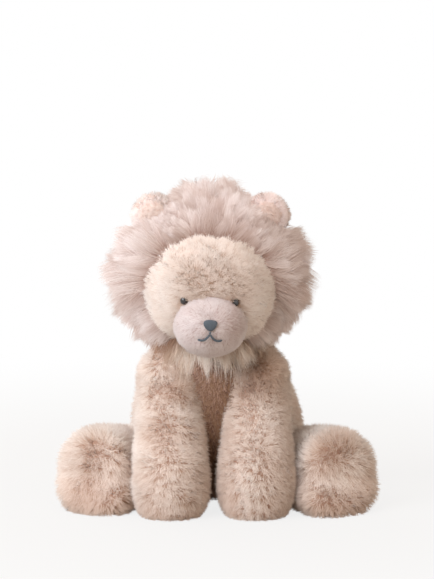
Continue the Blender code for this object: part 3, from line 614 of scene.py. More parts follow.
torso = closed_form("torso_cloth", torso_points(PILE_SINK))
dress(torso, "torso", body_cloth, "body_skin")
spots, normals = roots_on(torso, TORSO_PICKS, np.random.default_rng(11))
clear = outside_legs(spots, TORSO_MEET) & (spots[:, 2] > TORSO_FOOT)
spots, normals = spots[clear][:TORSO_STRANDS], normals[clear][:TORSO_STRANDS]
z = spots[:, 2]
middle = np.column_stack([0 * z, -z * TORSO_LEAN / TORSO_HEIGHT, z + 0.01])
chest = np.exp(-((spots[:, 0] / CHEST_HALF_WIDTH) ** 4)) * (normals[:, 1] < -0.2) >= 0.5
comb = brushed(spots, normals, middle, 0.25, 0.3, 12)
grow("torso_pile", "torso", spots[~chest], normals[~chest], PILE_LENGTH, comb[~chest], 13, body_plush,
     "body_pile", tone=patches(spots[~chest], 0.05, 14))
# The chest pile is painted lighter towards the floor, which eases its painted shade low down.
grow("chest_pile", "torso", spots[chest], normals[chest], CHEST_PILE, comb[chest], 13, chest_shade_plush,
     "body_pile", tone=patches(spots[chest], 0.05, 14) + 0.5 * fade(z[chest], 0.09))

for seed, (name, (path, radii)) in enumerate(LEGS.items()):
    front = "front" in name
    side = -1 if name.startswith("left") else 1
    if front:
        rings = tube_rings(path, np.maximum(radii - PILE_SINK, 0.0006), np.array([0, 1.0, 0]))
        sack = closed_form(name + "_cloth", settle(rings, PILE_SINK))
    else:
        path, radii = hind_path(side, PILE_SINK)
        rings = tube_rings(path, radii, np.array([0, 0, 1.0]))
        sack = closed_form(name + "_cloth", settle(rings, PILE_SINK, *FOOT_SPREAD))
    dress(sack, name, body_cloth, name + "_skin")
    spots, normals = roots_on(sack, LEG_PICKS, np.random.default_rng(20 + seed))
    sole = (spots[:, 2] <= LEG_FOOT) & (normals[:, 2] < -0.6)
    under, under_normals = spots[sole][:SOLE_STRANDS], normals[sole][:SOLE_STRANDS]
    clear = ~in_torso(spots, LEG_MEET) & (spots[:, 2] > LEG_FOOT) & outside_legs(spots, LEG_MEET, (name,))
    spots, normals = spots[clear][:LEG_STRANDS], normals[clear][:LEG_STRANDS]
    line = path[nearest(spots.astype(np.float32), path.astype(np.float32))]
    comb = brushed(spots, normals, line, 0.2, 0.18, 30 + seed)
    # Near the floor the pile is pressed shorter. There, on the inner sides of the front legs and on the
    # fronts of the hind legs, it is painted darker as painted shade.
    pressed = (0.5 if front else 0.2) * fade(spots[:, 2], 0.022)
    length = (PILE_LENGTH if front else FOOT_PILE) * (1 - pressed)
    # Painted shadow of the head on each front leg below the beard, wider and darker on the right.
    painted_head_shadow = front * bell(
        (spots[:, 2] - HEAD_SHADOW_HEIGHT) / HEAD_SHADOW_RISE,
        (spots[:, 0] - HEAD_SHADOW_OFFSET * side - HEAD_SHADOW_SHIFT) / (HEAD_SHADOW_WIDTH + HEAD_SHADOW_DIFFERENCE * side))
    inner = 0.45 * np.clip(-normals[:, 0] * side, 0, 1) if front else 0.35 * np.clip(-normals[:, 1], 0, 1)
    dark = 0.8 * fade(spots[:, 2], 0.034) + inner
    grow(name + "_pile", name, spots, normals, length, comb, 40 + seed, body_plush, "body_pile",
         tone=patches(spots, 0.045, 50 + seed) - 0.65 * dark, shown=1 - (0.58 + 0.2 * side) * painted_head_shadow)
    comb = brushed(under, under_normals, path[-1], 0.8, 0, 130 + seed)
    grow(name + "_sole_pile", name, under, under_normals, SOLE_PILE, comb, 134 + seed, body_plush,
         "body_pile", lift=0.3, width=0.8 * MM, tone=patches(under, 0.03, 138 + seed))


# Head: a stuffed ball with the same plush, shorter, brushed up and out from the muzzle.
# The pile curls above the muzzle, where it shows its darker roots, and ends at the mane's hairline.
HEAD_CENTRE = np.array([-0.003, -0.066, 0.232])
HEAD_RADII = np.array([0.071, 0.064, 0.065])
# The head is rolled a little about the view, to the right.
HEAD_ROLL = math.radians(2)
ROLL = np.array([
    [math.cos(HEAD_ROLL), 0, math.sin(HEAD_ROLL)],
    [0, 1, 0],
    [-math.sin(HEAD_ROLL), 0, math.cos(HEAD_ROLL)],
])
FACE_SINK = 0.006
FACE_PILE = 0.0100
FACE_PICKS, FACE_STRANDS = 105000, 36000
# The filled lower cheeks: how far out, how far across and down from the head's middle, how wide.
CHEEK_FILL = 0.010
CHEEK_ACROSS, CHEEK_DOWN, CHEEK_REACH = 0.034, 0.046, 0.022
# The curly place above the muzzle: up and across from the head's middle, and its reach each way.
BROW_PLACE = (0.002, 0.006)
BROW_REACH = (0.020, 0.042)
HAIRLINE_RADII = np.array([0.0590, 0.052])
HAIRLINE_DROP = 0.012
MUZZLE_CENTRE = np.array([-0.003, -0.116, 0.189])
MUZZLE_RADII = np.array([0.035, 0.034, 0.030])
EYE_SPACING = 0.051
EYE_DROP = 0.0194
EYE_RADIUS = 0.0045
EYE_PROUD = 0.0012


def in_ball(points, centre, radii):
    """True inside an ellipsoid, where the squares of the offsets over the radii add to under 1."""
    return (((points - centre) / radii) ** 2).sum(1) < 1


def oval_points(radii, rings=44, sides=72):
    """Rings of an ellipsoid about the origin, with its poles front and back. Each is as wide as the sine
    of its fall from the front pole and as far forward as its cosine, times the radii."""
    fall = np.linspace(0.03, math.pi - 0.03, rings)[:, None]
    turns = np.linspace(0, 2 * math.pi, sides, endpoint=False)
    return radii * np.stack(np.broadcast_arrays(
        np.sin(fall) * np.cos(turns), -np.cos(fall), np.sin(fall) * np.sin(turns)), 2)


def on_head(across, up):
    """A point on the head's outer surface and its outward direction, from offsets on the rolled face. Its
    depth solves the ellipsoid's equation, and its direction is the offsets over their radii squared."""
    a, b, c = HEAD_RADII
    local = np.array([across, -b * math.sqrt(1 - (across / a) ** 2 - (up / c) ** 2), up])
    return HEAD_CENTRE + ROLL @ local, unit(ROLL @ (local / HEAD_RADII**2))


def hairline(local):
    """How far out on the face an offset from the head's middle lies: 1 at the mane's hairline. It is the
    length of the offsets from the hairline's own middle over its radii, and 9 on the back of the head."""
    face = (local[..., [0, 2]] + [0, HAIRLINE_DROP]) / HAIRLINE_RADII
    return np.where(local[..., 1] < 0, np.linalg.norm(face, axis=-1), 9.0)


def on_rolled_face(points):
    """Offsets of points from the head's middle, along the rolled head's own axes."""
    return (points - HEAD_CENTRE) @ ROLL


EYES = {word: on_head(side * EYE_SPACING / 2, -EYE_DROP) for side, word in ((-1, "left"), (1, "right"))}
face_cloth = knit_cloth("knitted_face_backing", "C4A48D")
face_plush = plush("brushed_face_plush", (
    (0.0, "C6A286"), (0.28, "E0CEC0"), (0.6, "F2E7DE"), (1.0, "FDF8F3"),
), "EFE5DD", "FFFDFB")

shape = oval_points(HEAD_RADII - FACE_SINK)
cheek = bell((np.abs(shape[..., 0]) - CHEEK_ACROSS) / CHEEK_REACH,
             (shape[..., 2] + CHEEK_DOWN) / CHEEK_REACH)
cheek *= CHEEK_FILL * np.clip(0.6 - shape[..., 1] / 0.03, 0, 1)
shape += cheek[..., None] * unit(shape * [1, 0, 1])
head = closed_form("head_cloth", HEAD_CENTRE + shape @ ROLL.T)
dress(head, "head", face_cloth, "head_skin")
spots, normals = roots_on(head, FACE_PICKS, np.random.default_rng(61))
local = on_rolled_face(spots)
out = hairline(local)
clear = (out < 1.0) & ~in_ball(spots, MUZZLE_CENTRE, MUZZLE_RADII - 0.002)
for place, outward in EYES.values():
    clear &= np.linalg.norm(np.cross(spots - place, outward), axis=1) > EYE_RADIUS - 0.0016
spots, normals, out, local = (a[clear][:FACE_STRANDS] for a in (spots, normals, out, local))
near_eye = np.min([np.linalg.norm(spots - place, axis=1) for place, _ in EYES.values()], axis=0)
brow = bell(*((local[:, [2, 0]] - BROW_PLACE) / BROW_REACH).T)
# Painted shade along the muzzle's upper edge, where the face pile meets it.
muzzle_edge_shade = bell((np.linalg.norm((spots - MUZZLE_CENTRE) / MUZZLE_RADII, axis=1) - 1) / 0.12)
muzzle_edge_shade *= np.clip((spots[:, 2] - MUZZLE_CENTRE[2]) / 0.02, 0, 1)
comb = brushed(spots, normals, MUZZLE_CENTRE + [0, 0.01, 0.012], 0.45, 0.0, 62, size=0.025, tangle=0.1)
comb = comb * ((1 + 0.9 * out**3) * (1 - 0.6 * brow))[:, None]
comb = comb + 0.17 * brow[:, None] * swirl(spots, 0.004, 63)
length = FACE_PILE * (1 - 0.16 * brow) * np.clip(0.35 + near_eye / 0.016, 0.5, 1)
# Round the eyes the pile is painted darker in its root colours: painted shade.
grow("face_pile", "head", spots, normals, length, comb, 64, face_plush, "face_pile", bend=(0, 0, -0.05),
     curl=0.1, stray=0.22, clumps=((6, 0.12),), tone=patches(spots, 0.03, 65, 0.1) - 0.22 * brow,
     shown=1 - 0.23 * brow - 0.8 * bell(near_eye / 0.0085) - 0.35 * muzzle_edge_shade)


# Muzzle: short velour over a firm fill, drawn in a little along the sewn mouth.
# The velour is 4 mm long and lies swept back from the nose, so that it stands about 2 mm high.
MUZZLE_SINK = 0.0015
MUZZLE_PILE = 0.0042
MUZZLE_PICKS = 44000
VELOUR_ROWS = np.array([0.0, 0.55, 1.0])
MOUTH_DENT = 0.0013
# How far from a thread's middle line the velour starts, and the place of its mottled painted shade, right
# and above the nose.
THREAD_CLEAR = 0.0015
SHADED_MUZZLE_PLACE = (0.019, 0.1975)
SHADED_MUZZLE_REACH = (0.010, 0.015)
NOSE_HALF_WIDTH = 0.0071
NOSE_HEIGHT = 0.0110
NOSE_RISE = 0.0050
NOSE_THREAD = 0.0016
NOSE_SINK = 0.0012
NOSE_BACK_RINGS, NOSE_FRONT_RINGS = 8, 26
STITCH_SPACING = 0.00062
STITCH_RELIEF = 0.00022
MOUTH_FORK = -0.0036
MOUTH_FORK_GAP = 0.0004
MOUTH_STEPS = 26
MOUTH_HALF_WIDTH = 0.0118
MOUTH_DROP = 0.0064
THREAD_RADIUS = 0.00105
TWIST_LENGTH = 0.0026
# How high the threads' middle lines lie on the muzzle: the upright one lies over the mouth's.
PHILTRUM_LIFT, MOUTH_LIFT = 0.0017, 0.0012


def on_muzzle(across, up, lift):
    """Points over the muzzle's front, from offsets about its centre and a lift off its surface. Their
    depth solves the equation of the muzzle's ellipsoid with the lift added to its radii."""
    radii = MUZZLE_RADII + lift
    spot = np.stack(np.broadcast_arrays(across, 0.0, up), -1) @ ROLL.T
    depth = radii[1] * np.sqrt(1 - (spot[..., 0] / radii[0]) ** 2 - (spot[..., 2] / radii[2]) ** 2)
    return MUZZLE_CENTRE + np.stack([spot[..., 0], -depth, spot[..., 2]], -1)


# The mouth's lines as offsets across and up: an upright one, and two that curve out like a sine.
along = np.linspace(0, 1, MOUTH_STEPS)
nose_foot = NOSE_RISE - NOSE_HEIGHT / 2
MOUTH = {"philtrum": (0 * along, nose_foot - (nose_foot - MOUTH_FORK) * along)}
for side, word in ((-1, "left"), (1, "right")):
    out = MOUTH_FORK_GAP + (MOUTH_HALF_WIDTH - MOUTH_FORK_GAP) * along**1.25
    MOUTH["mouth_" + word] = (side * out, MOUTH_FORK - MOUTH_DROP * np.sin(2.1 * along))
muzzle_cloth = knit_cloth("velour_backing", "C9ABA2", thread=0.9)
velour = plush("short_muzzle_velour", (
    (0.0, "B4938A"), (0.4, "D8CDC9"), (1.0, "ECE7E5"),
), "E6D8D3", "FFFCFB", roughness=0.65, sheen=0.3)

shape = MUZZLE_CENTRE + oval_points(MUZZLE_RADII - MUZZLE_SINK, rings=70, sides=96)
mouth_line = np.vstack([on_muzzle(x, z, 0.0) for x, z in MOUTH.values()])
reach = np.sqrt(((shape[..., None, :] - mouth_line) ** 2).sum(-1).min(-1))
shape[..., 1] += MOUTH_DENT * bell(reach / 0.0035)
muzzle = closed_form("muzzle_cloth", shape)
dress(muzzle, "head", muzzle_cloth, "muzzle_skin")
spots, normals = roots_on(muzzle, MUZZLE_PICKS, np.random.default_rng(71))
clear = ~in_ball(on_rolled_face(spots), np.zeros(3), HEAD_RADII - FACE_SINK - 0.002)
for place, _ in EYES.values():
    clear &= np.linalg.norm(spots - place, axis=1) > EYE_RADIUS
gap = np.sqrt(((spots[:, None] - mouth_line[::3]) ** 2).sum(-1).min(-1))
clear &= gap > THREAD_CLEAR
spots, normals = spots[clear], normals[clear]
comb = brushed(spots, normals, on_muzzle(0, NOSE_RISE, 0.0), 0.9, 0.1, 72, size=0.012, tangle=0.25)
# A mottled patch of painted shade on the muzzle's right side: the velour keeps its root colours further up
# there.
muzzle_mottled_shade = bell(*((spots[:, [0, 2]] - SHADED_MUZZLE_PLACE) / SHADED_MUZZLE_REACH).T)
muzzle_mottled_shade *= np.clip(0.75 + 0.5 * swirl(spots, 0.0035, 75)[:, 0], 0, 1)
grow("muzzle_pile", "head", spots, normals, MUZZLE_PILE, comb, 73, velour, "muzzle_pile", width=0.42 * MM,
     rows=VELOUR_ROWS, soften=0.75, clumps=((9, 0.3),), shown=1 - 0.6 * muzzle_mottled_shade,
     tone=patches(spots, 0.02, 74, 0.10) - 0.3 * muzzle_mottled_shade)


# Nose and mouth: slate embroidery thread, laid in close upright satin stitches for the nose.
# The mouth is a double thread laid on the velour and tacked down, so it shows its twist.
def patterned(name, dark, light, texture, relief, settings, **finish):
    """A surface whose colour runs from dark to light as a texture node does. The texture also raises it
    by the relief, which is a bump's strength and its depth in millimetres, or None."""
    material, tree = new_material(name)
    pattern = node(tree, texture, Vector=node(tree, "TexCoord").outputs["Object"], **settings)
    value = pattern.outputs["Distance" if texture == "TexVoronoi" else "Fac"]
    ramp = node(tree, "ValToRGB", Fac=value)
    for stop, colour in zip(ramp.color_ramp.elements, (dark, light)):
        stop.color = linear(colour)
    if relief:
        bump = node(tree, "Bump", Strength=relief[0], Distance=relief[1] * MM, Height=value)
        finish["Normal"] = bump.outputs["Normal"]
    surface = node(tree, "BsdfPrincipled", Base_Color=ramp.outputs["Color"], **finish)
    node(tree, "OutputMaterial", Surface=surface.outputs[0])
    return material


def slate_thread(name, dark, light, ply):
    """Rayon thread with a soft shine, painted darker between its plies as painted shade, each ply so many
    millimetres wide: a wave texture repeats every 0.31 over its scale. The real plies are finer than the
    render can show."""
    waves = {"Scale": 1 / (ply * MM) / 6.3, "Distortion": 2.0, "Detail": 2.0}
    return patterned(name, dark, light, "TexWave", (0.5, 0.15), waves, Roughness=0.5, Sheen_Weight=0.2)


def nose_outline(count=96):
    """A rounded shield: an oval whose width grows towards its flattened top."""
    turn = np.linspace(0, 2 * math.pi, count, endpoint=False)
    across, up = np.cos(turn), np.sin(turn)
    x = NOSE_HALF_WIDTH * np.sign(across) * np.abs(across) ** 0.9 * (1 + 0.34 * up) / 1.09
    return np.stack([x, NOSE_HEIGHT / 2 * np.sign(up) * np.abs(up) ** np.where(up > 0, 0.8, 1.0)], 1)


nose_thread = slate_thread("satin_stitched_slate_thread", "2C333A", "56616B", 0.55)
mouth_thread = slate_thread("laid_slate_thread", "323A42", "5A6670", 0.45)

rim = nose_outline()
share = np.concatenate([np.linspace(0.05, 1, NOSE_BACK_RINGS), np.linspace(0.97, 0.02, NOSE_FRONT_RINGS)])
share = share[:, None]
front_side = (np.arange(len(share)) >= NOSE_BACK_RINGS)[:, None]
x, z = share * rim[:, 0], NOSE_RISE + share * rim[:, 1]
ridges = STITCH_RELIEF * np.abs(np.sin(x / STITCH_SPACING * math.pi / 2)) * (share < 0.95)
dome = NOSE_THREAD * (1 - share**4) ** 0.5 + ridges
lift = np.where(front_side, dome, -NOSE_SINK)
stitches = on_muzzle(x, z, 0.0)
stitches += lift[..., None] * unit(stitches - MUZZLE_CENTRE)
nose = closed_form("nose_satin_stitches", stitches)
fit(nose, "head", nose_thread, "nose_embroidery")

STITCH_NODES = {
    "philtrum": "philtrum_stitch", "mouth_left": "mouth_stitch_left", "mouth_right": "mouth_stitch_right",
}
for word, (x, z) in MOUTH.items():
    path = on_muzzle(x, z, PHILTRUM_LIFT if word == "philtrum" else MOUTH_LIFT)
    fine = np.linspace(0, MOUTH_STEPS - 1, 90)
    path = np.stack([np.interp(fine, np.arange(MOUTH_STEPS), path[:, k]) for k in range(3)], 1)
    run = np.append(0, np.cumsum(np.linalg.norm(np.diff(path, axis=0), axis=1)))
    ends = np.clip(np.minimum(run, run[-1] - run) / THREAD_RADIUS, 0.02, 1) ** 0.5
    rings = tube_rings(path, THREAD_RADIUS * ends, np.array([0, 1.0, 0]), sides=16)
    turn = np.linspace(0, 2 * math.pi, 16, endpoint=False)
    twist = 1 + 0.13 * np.cos(2 * (turn - run[:, None] * 2 * math.pi / TWIST_LENGTH))
    rings = path[:, None] + (rings - path[:, None]) * twist[..., None]
    thread = closed_form(word + "_thread", rings)
    fit(thread, "head", mouth_thread, STITCH_NODES[word])


# Eyes: domed beads of polished black acrylic on stems, pushed in until the pile half hides them.
# Each is turned in one piece, and locks behind the cloth with a moulded washer.
def turned(name, rows, place, outward, sides=40):
    """A profile of (radius, height) rows turned about an axis that leaves a place outwards."""
    up = unit(np.array([0.0, 0.0, 1.0]) - outward * outward[2])
    across = np.cross(up, outward)
    turn = np.linspace(0, 2 * math.pi, sides, endpoint=False)[:, None]
    ring = np.cos(turn) * across + np.sin(turn) * up
    return closed_form(name, np.stack([place + r * ring + h * outward for r, h in rows]))


speckle = {"Scale": 1 / (2 * MM), "Detail": 2.0}
acrylic = patterned("polished_black_acrylic", "15110F", "231D1A", "TexNoise", None, speckle,
                    Roughness=0.12, Coat_Weight=0.6, Coat_Roughness=0.05)

# The dome goes a little past its widest, and the stem is 3.2 mm thick with a bevelled end.
middle = EYE_PROUD - EYE_RADIUS
falls = np.radians(np.linspace(88, -18, 18))
rows = [(EYE_RADIUS * math.cos(a), middle + EYE_RADIUS * math.sin(a)) for a in falls]
rows += [(0.0020, middle - 0.0016), (0.0016, middle - 0.0020)]
rows += [(0.0016, middle - 0.0085), (0.0012, middle - 0.0090)]
for word, (place, outward) in EYES.items():
    eye = turned(word + "_bead_eye", rows, place, outward)
    fit(eye, "head", acrylic, word + "_eye")


# Mane: a hood of very long wavy plush sewn on round the face, its pile up to 45 mm, in loose locks.
# It is brushed out from the hairline, down at the back, and under the chin it hangs in pointed tufts.
MANE_CENTRE = np.array([-0.003, -0.048, 0.231])
MANE_RADII = np.array([0.097, 0.084, 0.090])
MANE_SINK = np.array([0.0165, 0.0105, 0.0105])
MANE_PILE = 0.040
MANE_PICKS, MANE_STRANDS = 130000, 28000
MANE_ROWS = np.array([0.0, 0.2, 0.45, 0.72, 1.0])
MANE_FALL = {"bend": (0, 0.08, -0.12), "stray": 0.16, "curl": 0.07, "rows": MANE_ROWS, "soften": 0.6}
# Where the fringe ends and the crown begins, in hairlines, and how far back the crown goes.
FRINGE_END, CROWN_BACK = 1.28, 0.012
CHEEK_PILE, CHEEK_PICKS = 0.024, 60000
BEARD_PILE, BEARD_PICKS, BEARD_STRANDS = 0.043, 150000, 20000
# The beard hangs from the head below this height, within this half width, up to this far back.
BEARD_TOP, BEARD_HALF_WIDTH, BEARD_BACK = -0.034, 0.045, 0.016
EAR_RADII = np.array([0.021, 0.009, 0.019])
EAR_OUT = np.array([0.058, 0.0, 0.063])
EAR_PLACE_Y = -0.070
EAR_SINK = 0.0016


def ear_frame(side):
    """The ear's middle, and its turn: columns across, front to back, and away from the head. The middle
    lies half the ear's height past the head's outline, less the sink, the way that the ear points."""
    away = unit(EAR_OUT * [side, 0, 1])
    local = away @ ROLL
    reach = 1 / math.hypot(local[0] / HEAD_RADII[0], local[2] / HEAD_RADII[2])
    centre = HEAD_CENTRE + away * (reach - EAR_SINK + EAR_RADII[2])
    centre[1] = EAR_PLACE_Y
    return centre, np.stack([[away[2], 0, -away[0]], [0, 1, 0], away], 1)


EARS = {word: ear_frame(side) for side, word in ((-1, "left"), (1, "right"))}


def in_ears(points, grow_by):
    """True where a point lies inside either ear made larger by a length."""
    held = np.zeros(len(points), dtype=bool)
    for centre, turn in EARS.values():
        held |= in_ball((points - centre) @ turn, np.zeros(3), EAR_RADII + grow_by)
    return held


# The hood's reach from the head's middle solves the quadratic of a line with the mane's ellipsoid. It
# starts inside the face at the hairline, and rises from the skull over the first of the hood.
away = oval_points(np.ones(3), rings=56, sides=90)
skull_reach = 1 / np.linalg.norm(away / (HEAD_RADII - FACE_SINK), axis=2)
hood = MANE_RADII - MANE_SINK
shift = (HEAD_CENTRE - MANE_CENTRE) / hood
a = ((away / hood) ** 2).sum(2)
b = (away / hood * shift).sum(2)
hood_reach = (-b + np.sqrt(b * b - a * ((shift**2).sum() - 1))) / a
edge = hairline(away * skull_reach[..., None] @ ROLL)
opened = np.clip((edge - 0.97) / 0.12, 0, 1)
buried = skull_reach - 0.004
reach = np.where(opened > 0, np.maximum(hood_reach, skull_reach + 0.0015 * opened), buried)
reach = np.minimum(reach, buried + (0.012 * opened + np.maximum(edge - 1.05, 0) * 0.2))
mane = closed_form("mane_cloth", HEAD_CENTRE + away * reach[..., None])
mane_cloth = knit_cloth("knitted_mane_backing", "9A786B")
dress(mane, "head", mane_cloth, "mane")
mane_plush = plush("long_wavy_mane_plush", (
    (0.0, "8C6856"), (0.16, "B89889"), (0.42, "D8C6BC"), (1.0, "F4EDE9"),
), "D2C0B7", "FFFCFB", roughness=0.6)

# Bearings about the face are 0 degrees at the right, 90 at the top and -90 under the chin.
spots, normals = roots_on(mane, MANE_PICKS, np.random.default_rng(81))
local = on_rolled_face(spots)
out = hairline(local)
clear = (out > 0.99) & ~in_ears(spots, 0.002)
spots, normals, out, local = (a[clear] for a in (spots, normals, out, local))
spread = (local + [0, 0, HAIRLINE_DROP]) * [1, 0, 1]
radial = unit(spread) @ ROLL.T
behind = np.clip((local[:, 1] + 0.035) / 0.07, 0, 1)
bearing = np.degrees(np.arctan2(spread[:, 2], spread[:, 0]))
from_top = np.abs(bearing - 90)
chin = (np.abs(bearing + 90) < 30) & (local[:, 1] < 0.01)
comb = radial * (0.85 - 0.8 * behind[:, None]) + np.array([0, 0.10, 0]) - behind[:, None] * [0, 0, 0.75]
comb = comb + 0.16 * swirl(spots, 0.03, 82) + 0.14 * swirl(spots, 0.012, 80)
# The pile is shorter at the rim, the back, the top, the right, the nape, below, and beside the ears.
rim = np.clip((normals * radial).sum(1), 0, 1) ** 2
below = np.clip((np.abs((bearing + 90) % 360 - 180) - 85) / 45, 0, 1)
nape = np.clip((0.215 - spots[:, 2]) / 0.04, 0, 1) * behind
above = bell((bearing - 90) / 32) * (1 - behind)
length = (MANE_PILE - 0.007 * rim - 0.006 * behind) * (1 - 0.54 * bell((from_top - 36) / 14))
length = length * (1 - 0.1 * bell((bearing + 5) / 30)) * (1 - 0.3 * below) * (1 - 0.35 * nape)
length = length * (1 - 0.36 * above) * (1 - 0.24 * bell((from_top - 25) / 11))
groups = {
    "mane_fringe": (out < FRINGE_END) & ~chin,
    "mane_crown": (out >= FRINGE_END) & (local[:, 1] < CROWN_BACK) & ~chin,
    "mane_back": (local[:, 1] >= CROWN_BACK) & ~chin,
}
for seed, (name, chosen) in enumerate(groups.items()):
    pick = np.flatnonzero(chosen)[:MANE_STRANDS]
    grow(name, "head", spots[pick], normals[pick], length[pick], comb[pick], 83 + seed, mane_plush,
         "mane_pile", lift=0.62 - 0.14 * behind[pick, None],
         width=(0.8 if "back" in name else 0.55) * MM, clumps=((9, 0.3), (50, 0.52)), uneven=0.13,
         tone=patches(spots[pick], 0.03, 90 + seed, 0.14) - 0.3 * above[pick], **MANE_FALL)

# A ring of shorter pile on the head's own sides closes the place between the mane and the cheeks.
spots, normals = roots_on(head, CHEEK_PICKS, np.random.default_rng(98))
local = on_rolled_face(spots)
clear = (hairline(local) > 1.0) & (np.abs(local[:, 0]) > 0.034)
clear &= (local[:, 2] < 0.0) & (local[:, 1] < 0.02)
spots, normals, local = (a[clear] for a in (spots, normals, local))
comb = 0.9 * unit((local + [0, 0, HAIRLINE_DROP]) * [1, 0, 1]) @ ROLL.T + np.array([0, 0.2, 0])
grow("mane_cheek", "head", spots, normals, CHEEK_PILE, comb, 99, mane_plush, "mane_pile", lift=0.4,
     clumps=((9, 0.3), (40, 0.3)), uneven=0.1, tone=patches(spots, 0.03, 100, 0.14) + 0.3, **MANE_FALL)

# The beard fans out from under the muzzle. On the side towards the left front leg it is painted darker,
# as painted shade.
chin_plush = plush("long_chin_plush", (
    (0.0, "7A5641"), (0.3, "B99983"), (0.65, "EDDECF"), (1.0, "FFFAF4"),
), "E2D3C7", "FFFFFF", roughness=0.6)
beard_draw = np.random.default_rng(94)
spots, normals = roots_on(head, BEARD_PICKS, beard_draw)
local = on_rolled_face(spots)
foremost = -0.044 + 0.030 * np.clip((np.abs(local[:, 0]) - 0.018) / 0.020, 0, 1)
clear = (local[:, 2] < BEARD_TOP) & (local[:, 1] > foremost) & (local[:, 1] < BEARD_BACK)
clear &= (np.abs(local[:, 0]) < BEARD_HALF_WIDTH) & ~in_ball(spots, MUZZLE_CENTRE, MUZZLE_RADII)
spots, normals, local = (a[clear][:BEARD_STRANDS] for a in (spots, normals, local))
# Painted shade on the beard's left side, in its root colours.
beard_left_shade = np.clip((-local[:, 0] - 0.018) / 0.02, 0, 1)
swing = np.arctan2(local[:, :1], -local[:, 2:])
hang = np.sin(swing) * [0.7, 0, 0] - [0, 0.6, 0.85] + 0.3 * swirl(spots, 0.015, 95)
length = (BEARD_PILE - 0.010 * np.abs(swing[:, 0])) * beard_draw.uniform(0.6, 1.1, len(spots))
grow("mane_chin", "head", spots, normals, length, hang, 96, chin_plush, "mane_pile",
     lift=0.25, width=0.4 * MM, bend=(0, 0.04, -0.1), stray=0.2, curl=0.09, clumps=((7, 0.38), (20, 0.5)),
     uneven=0.2, rows=MANE_ROWS, soften=0.35, tone=patches(spots, 0.02, 97, 0.14) + 0.12 - 0.6 * beard_left_shade,
     shown=1 - 0.6 * beard_left_shade)


# Ears: two round layers, the long plush back and a curly peach lining set into its front.
# They are sewn to the head through the mane, whose pile covers their inner edges.
LINING_RADII = np.array([0.0165, 0.0055, 0.0145])
LINING_FORWARD = EAR_RADII[1] + 0.0012 - LINING_RADII[1]
EAR_CLOTH_SINK = [0.0045, 0.003, 0.0045]
LINING_CLOTH_SINK = [0.0035, 0.0022, 0.0035]
EAR_PILE, EAR_PICKS = 0.0080, 12500
LINING_PILE, LINING_PICKS = 0.0040, 9000
ear_cloth = knit_cloth("knitted_ear_backing", "E4CCC0")
lining_cloth = knit_cloth("curly_lining_backing", "ECD9CD")
ear_plush = plush("brushed_ear_plush", (
    (0.0, "E9D4CA"), (0.35, "F3E6DF"), (1.0, "FDF6F2"),
), "DCCBC3", "FFFDFB")
lining_plush = plush("curly_ear_lining", (
    (0.0, "E4C8B8"), (0.35, "F0DDD2"), (1.0, "F9EEE7"),
), "DFCEC4", "FFFDFB")
# Painted light and shade: the left ear is painted a little lighter, where the key lamp lights it, and
# the right one darker, in shade.
EAR_LIGHT_AND_SHADE = {"left": 0.2, "right": -0.16}

for seed, (word, (centre, turn)) in enumerate(EARS.items()):
    body = word + "_ear"
    shape = oval_points(EAR_RADII - EAR_CLOTH_SINK, rings=26, sides=44)
    back = closed_form(body + "_back_cloth", centre + shape @ turn.T)
    dress(back, body, ear_cloth, body + "_back")
    draw = np.random.default_rng(101 + seed)
    spots, normals = roots_on(back, EAR_PICKS, draw)
    rim = np.linalg.norm(((spots - centre) @ turn / EAR_RADII)[:, [0, 2]], axis=1) > 0.56
    clear = rim | (normals[:, 1] > 0)
    spots, normals = spots[clear], normals[clear]
    comb = brushed(spots, normals, centre - turn[:, 2] * 0.012, 0.3, 0.0, 103 + seed, size=0.015)
    comb = comb - 0.35 * (normals[:, 1:2] < 0.3) * [[0, 1.0, 0]]
    grow(body + "_back_pile", body, spots, normals, EAR_PILE, comb, 105 + seed, ear_plush, "ear_pile",
         stray=0.2, clumps=((6, 0.15),), soften=0.6, scatter=0.1,
         tone=EAR_LIGHT_AND_SHADE[word] + patches(spots, 0.02, 107 + seed, 0.06))
    shape = oval_points(LINING_RADII - LINING_CLOTH_SINK, rings=22, sides=36)
    middle = centre - [0, LINING_FORWARD, 0]
    lining = closed_form(body + "_lining_cloth", middle + shape @ turn.T)
    dress(lining, body, lining_cloth, body + "_lining")
    spots, normals = roots_on(lining, LINING_PICKS, draw)
    front = normals[:, 1] < 0.1
    spots, normals = spots[front], normals[front]
    comb = 0.6 * swirl(spots, 0.004, 109 + seed)
    grow(body + "_lining_pile", body, spots, normals, LINING_PILE, comb, 111 + seed, lining_plush,
         "ear_lining_pile", curl=0.3, clumps=((10, 0.5),), width=0.5 * MM,
         tone=EAR_LIGHT_AND_SHADE[word] + patches(spots, 0.008, 113 + seed, 0.1))


# Tail: a thin stuffed tube of the body's plush, ending in a tuft of the mane's. It is sewn in low on the
# back and curls to one side on the floor behind the lion, where the photograph doesn't show it.
TAIL_ROOT = np.array([0.0, 0.050, 0.034])
TAIL_RADIUS = 0.0085
TAIL_SWEEP = np.array([0.096, 0.058, 0.0095 - 0.034])
# Share of the sweep in x, y and z, and share of the radius.
TAIL_ROWS = (
    (-0.02, -0.14, -0.02, 0.7), (0.0, 0.0, 0.0, 1.25), (0.01, 0.28, 0.26, 0.95),
    (0.13, 0.64, 0.80, 0.94), (0.42, 0.90, 1.0, 1.0), (0.86, 1.0, 1.0, 1.0), (0.98, 1.0, 1.0, 0.6),
)
TAIL_SINK = 0.0035
TAIL_PILE, TAIL_PICKS = 0.0066, 9000
TUFT_RADII = np.array([0.027, 0.016, 0.016])
TUFT_PILE, TUFT_PICKS = 0.0165, 5200

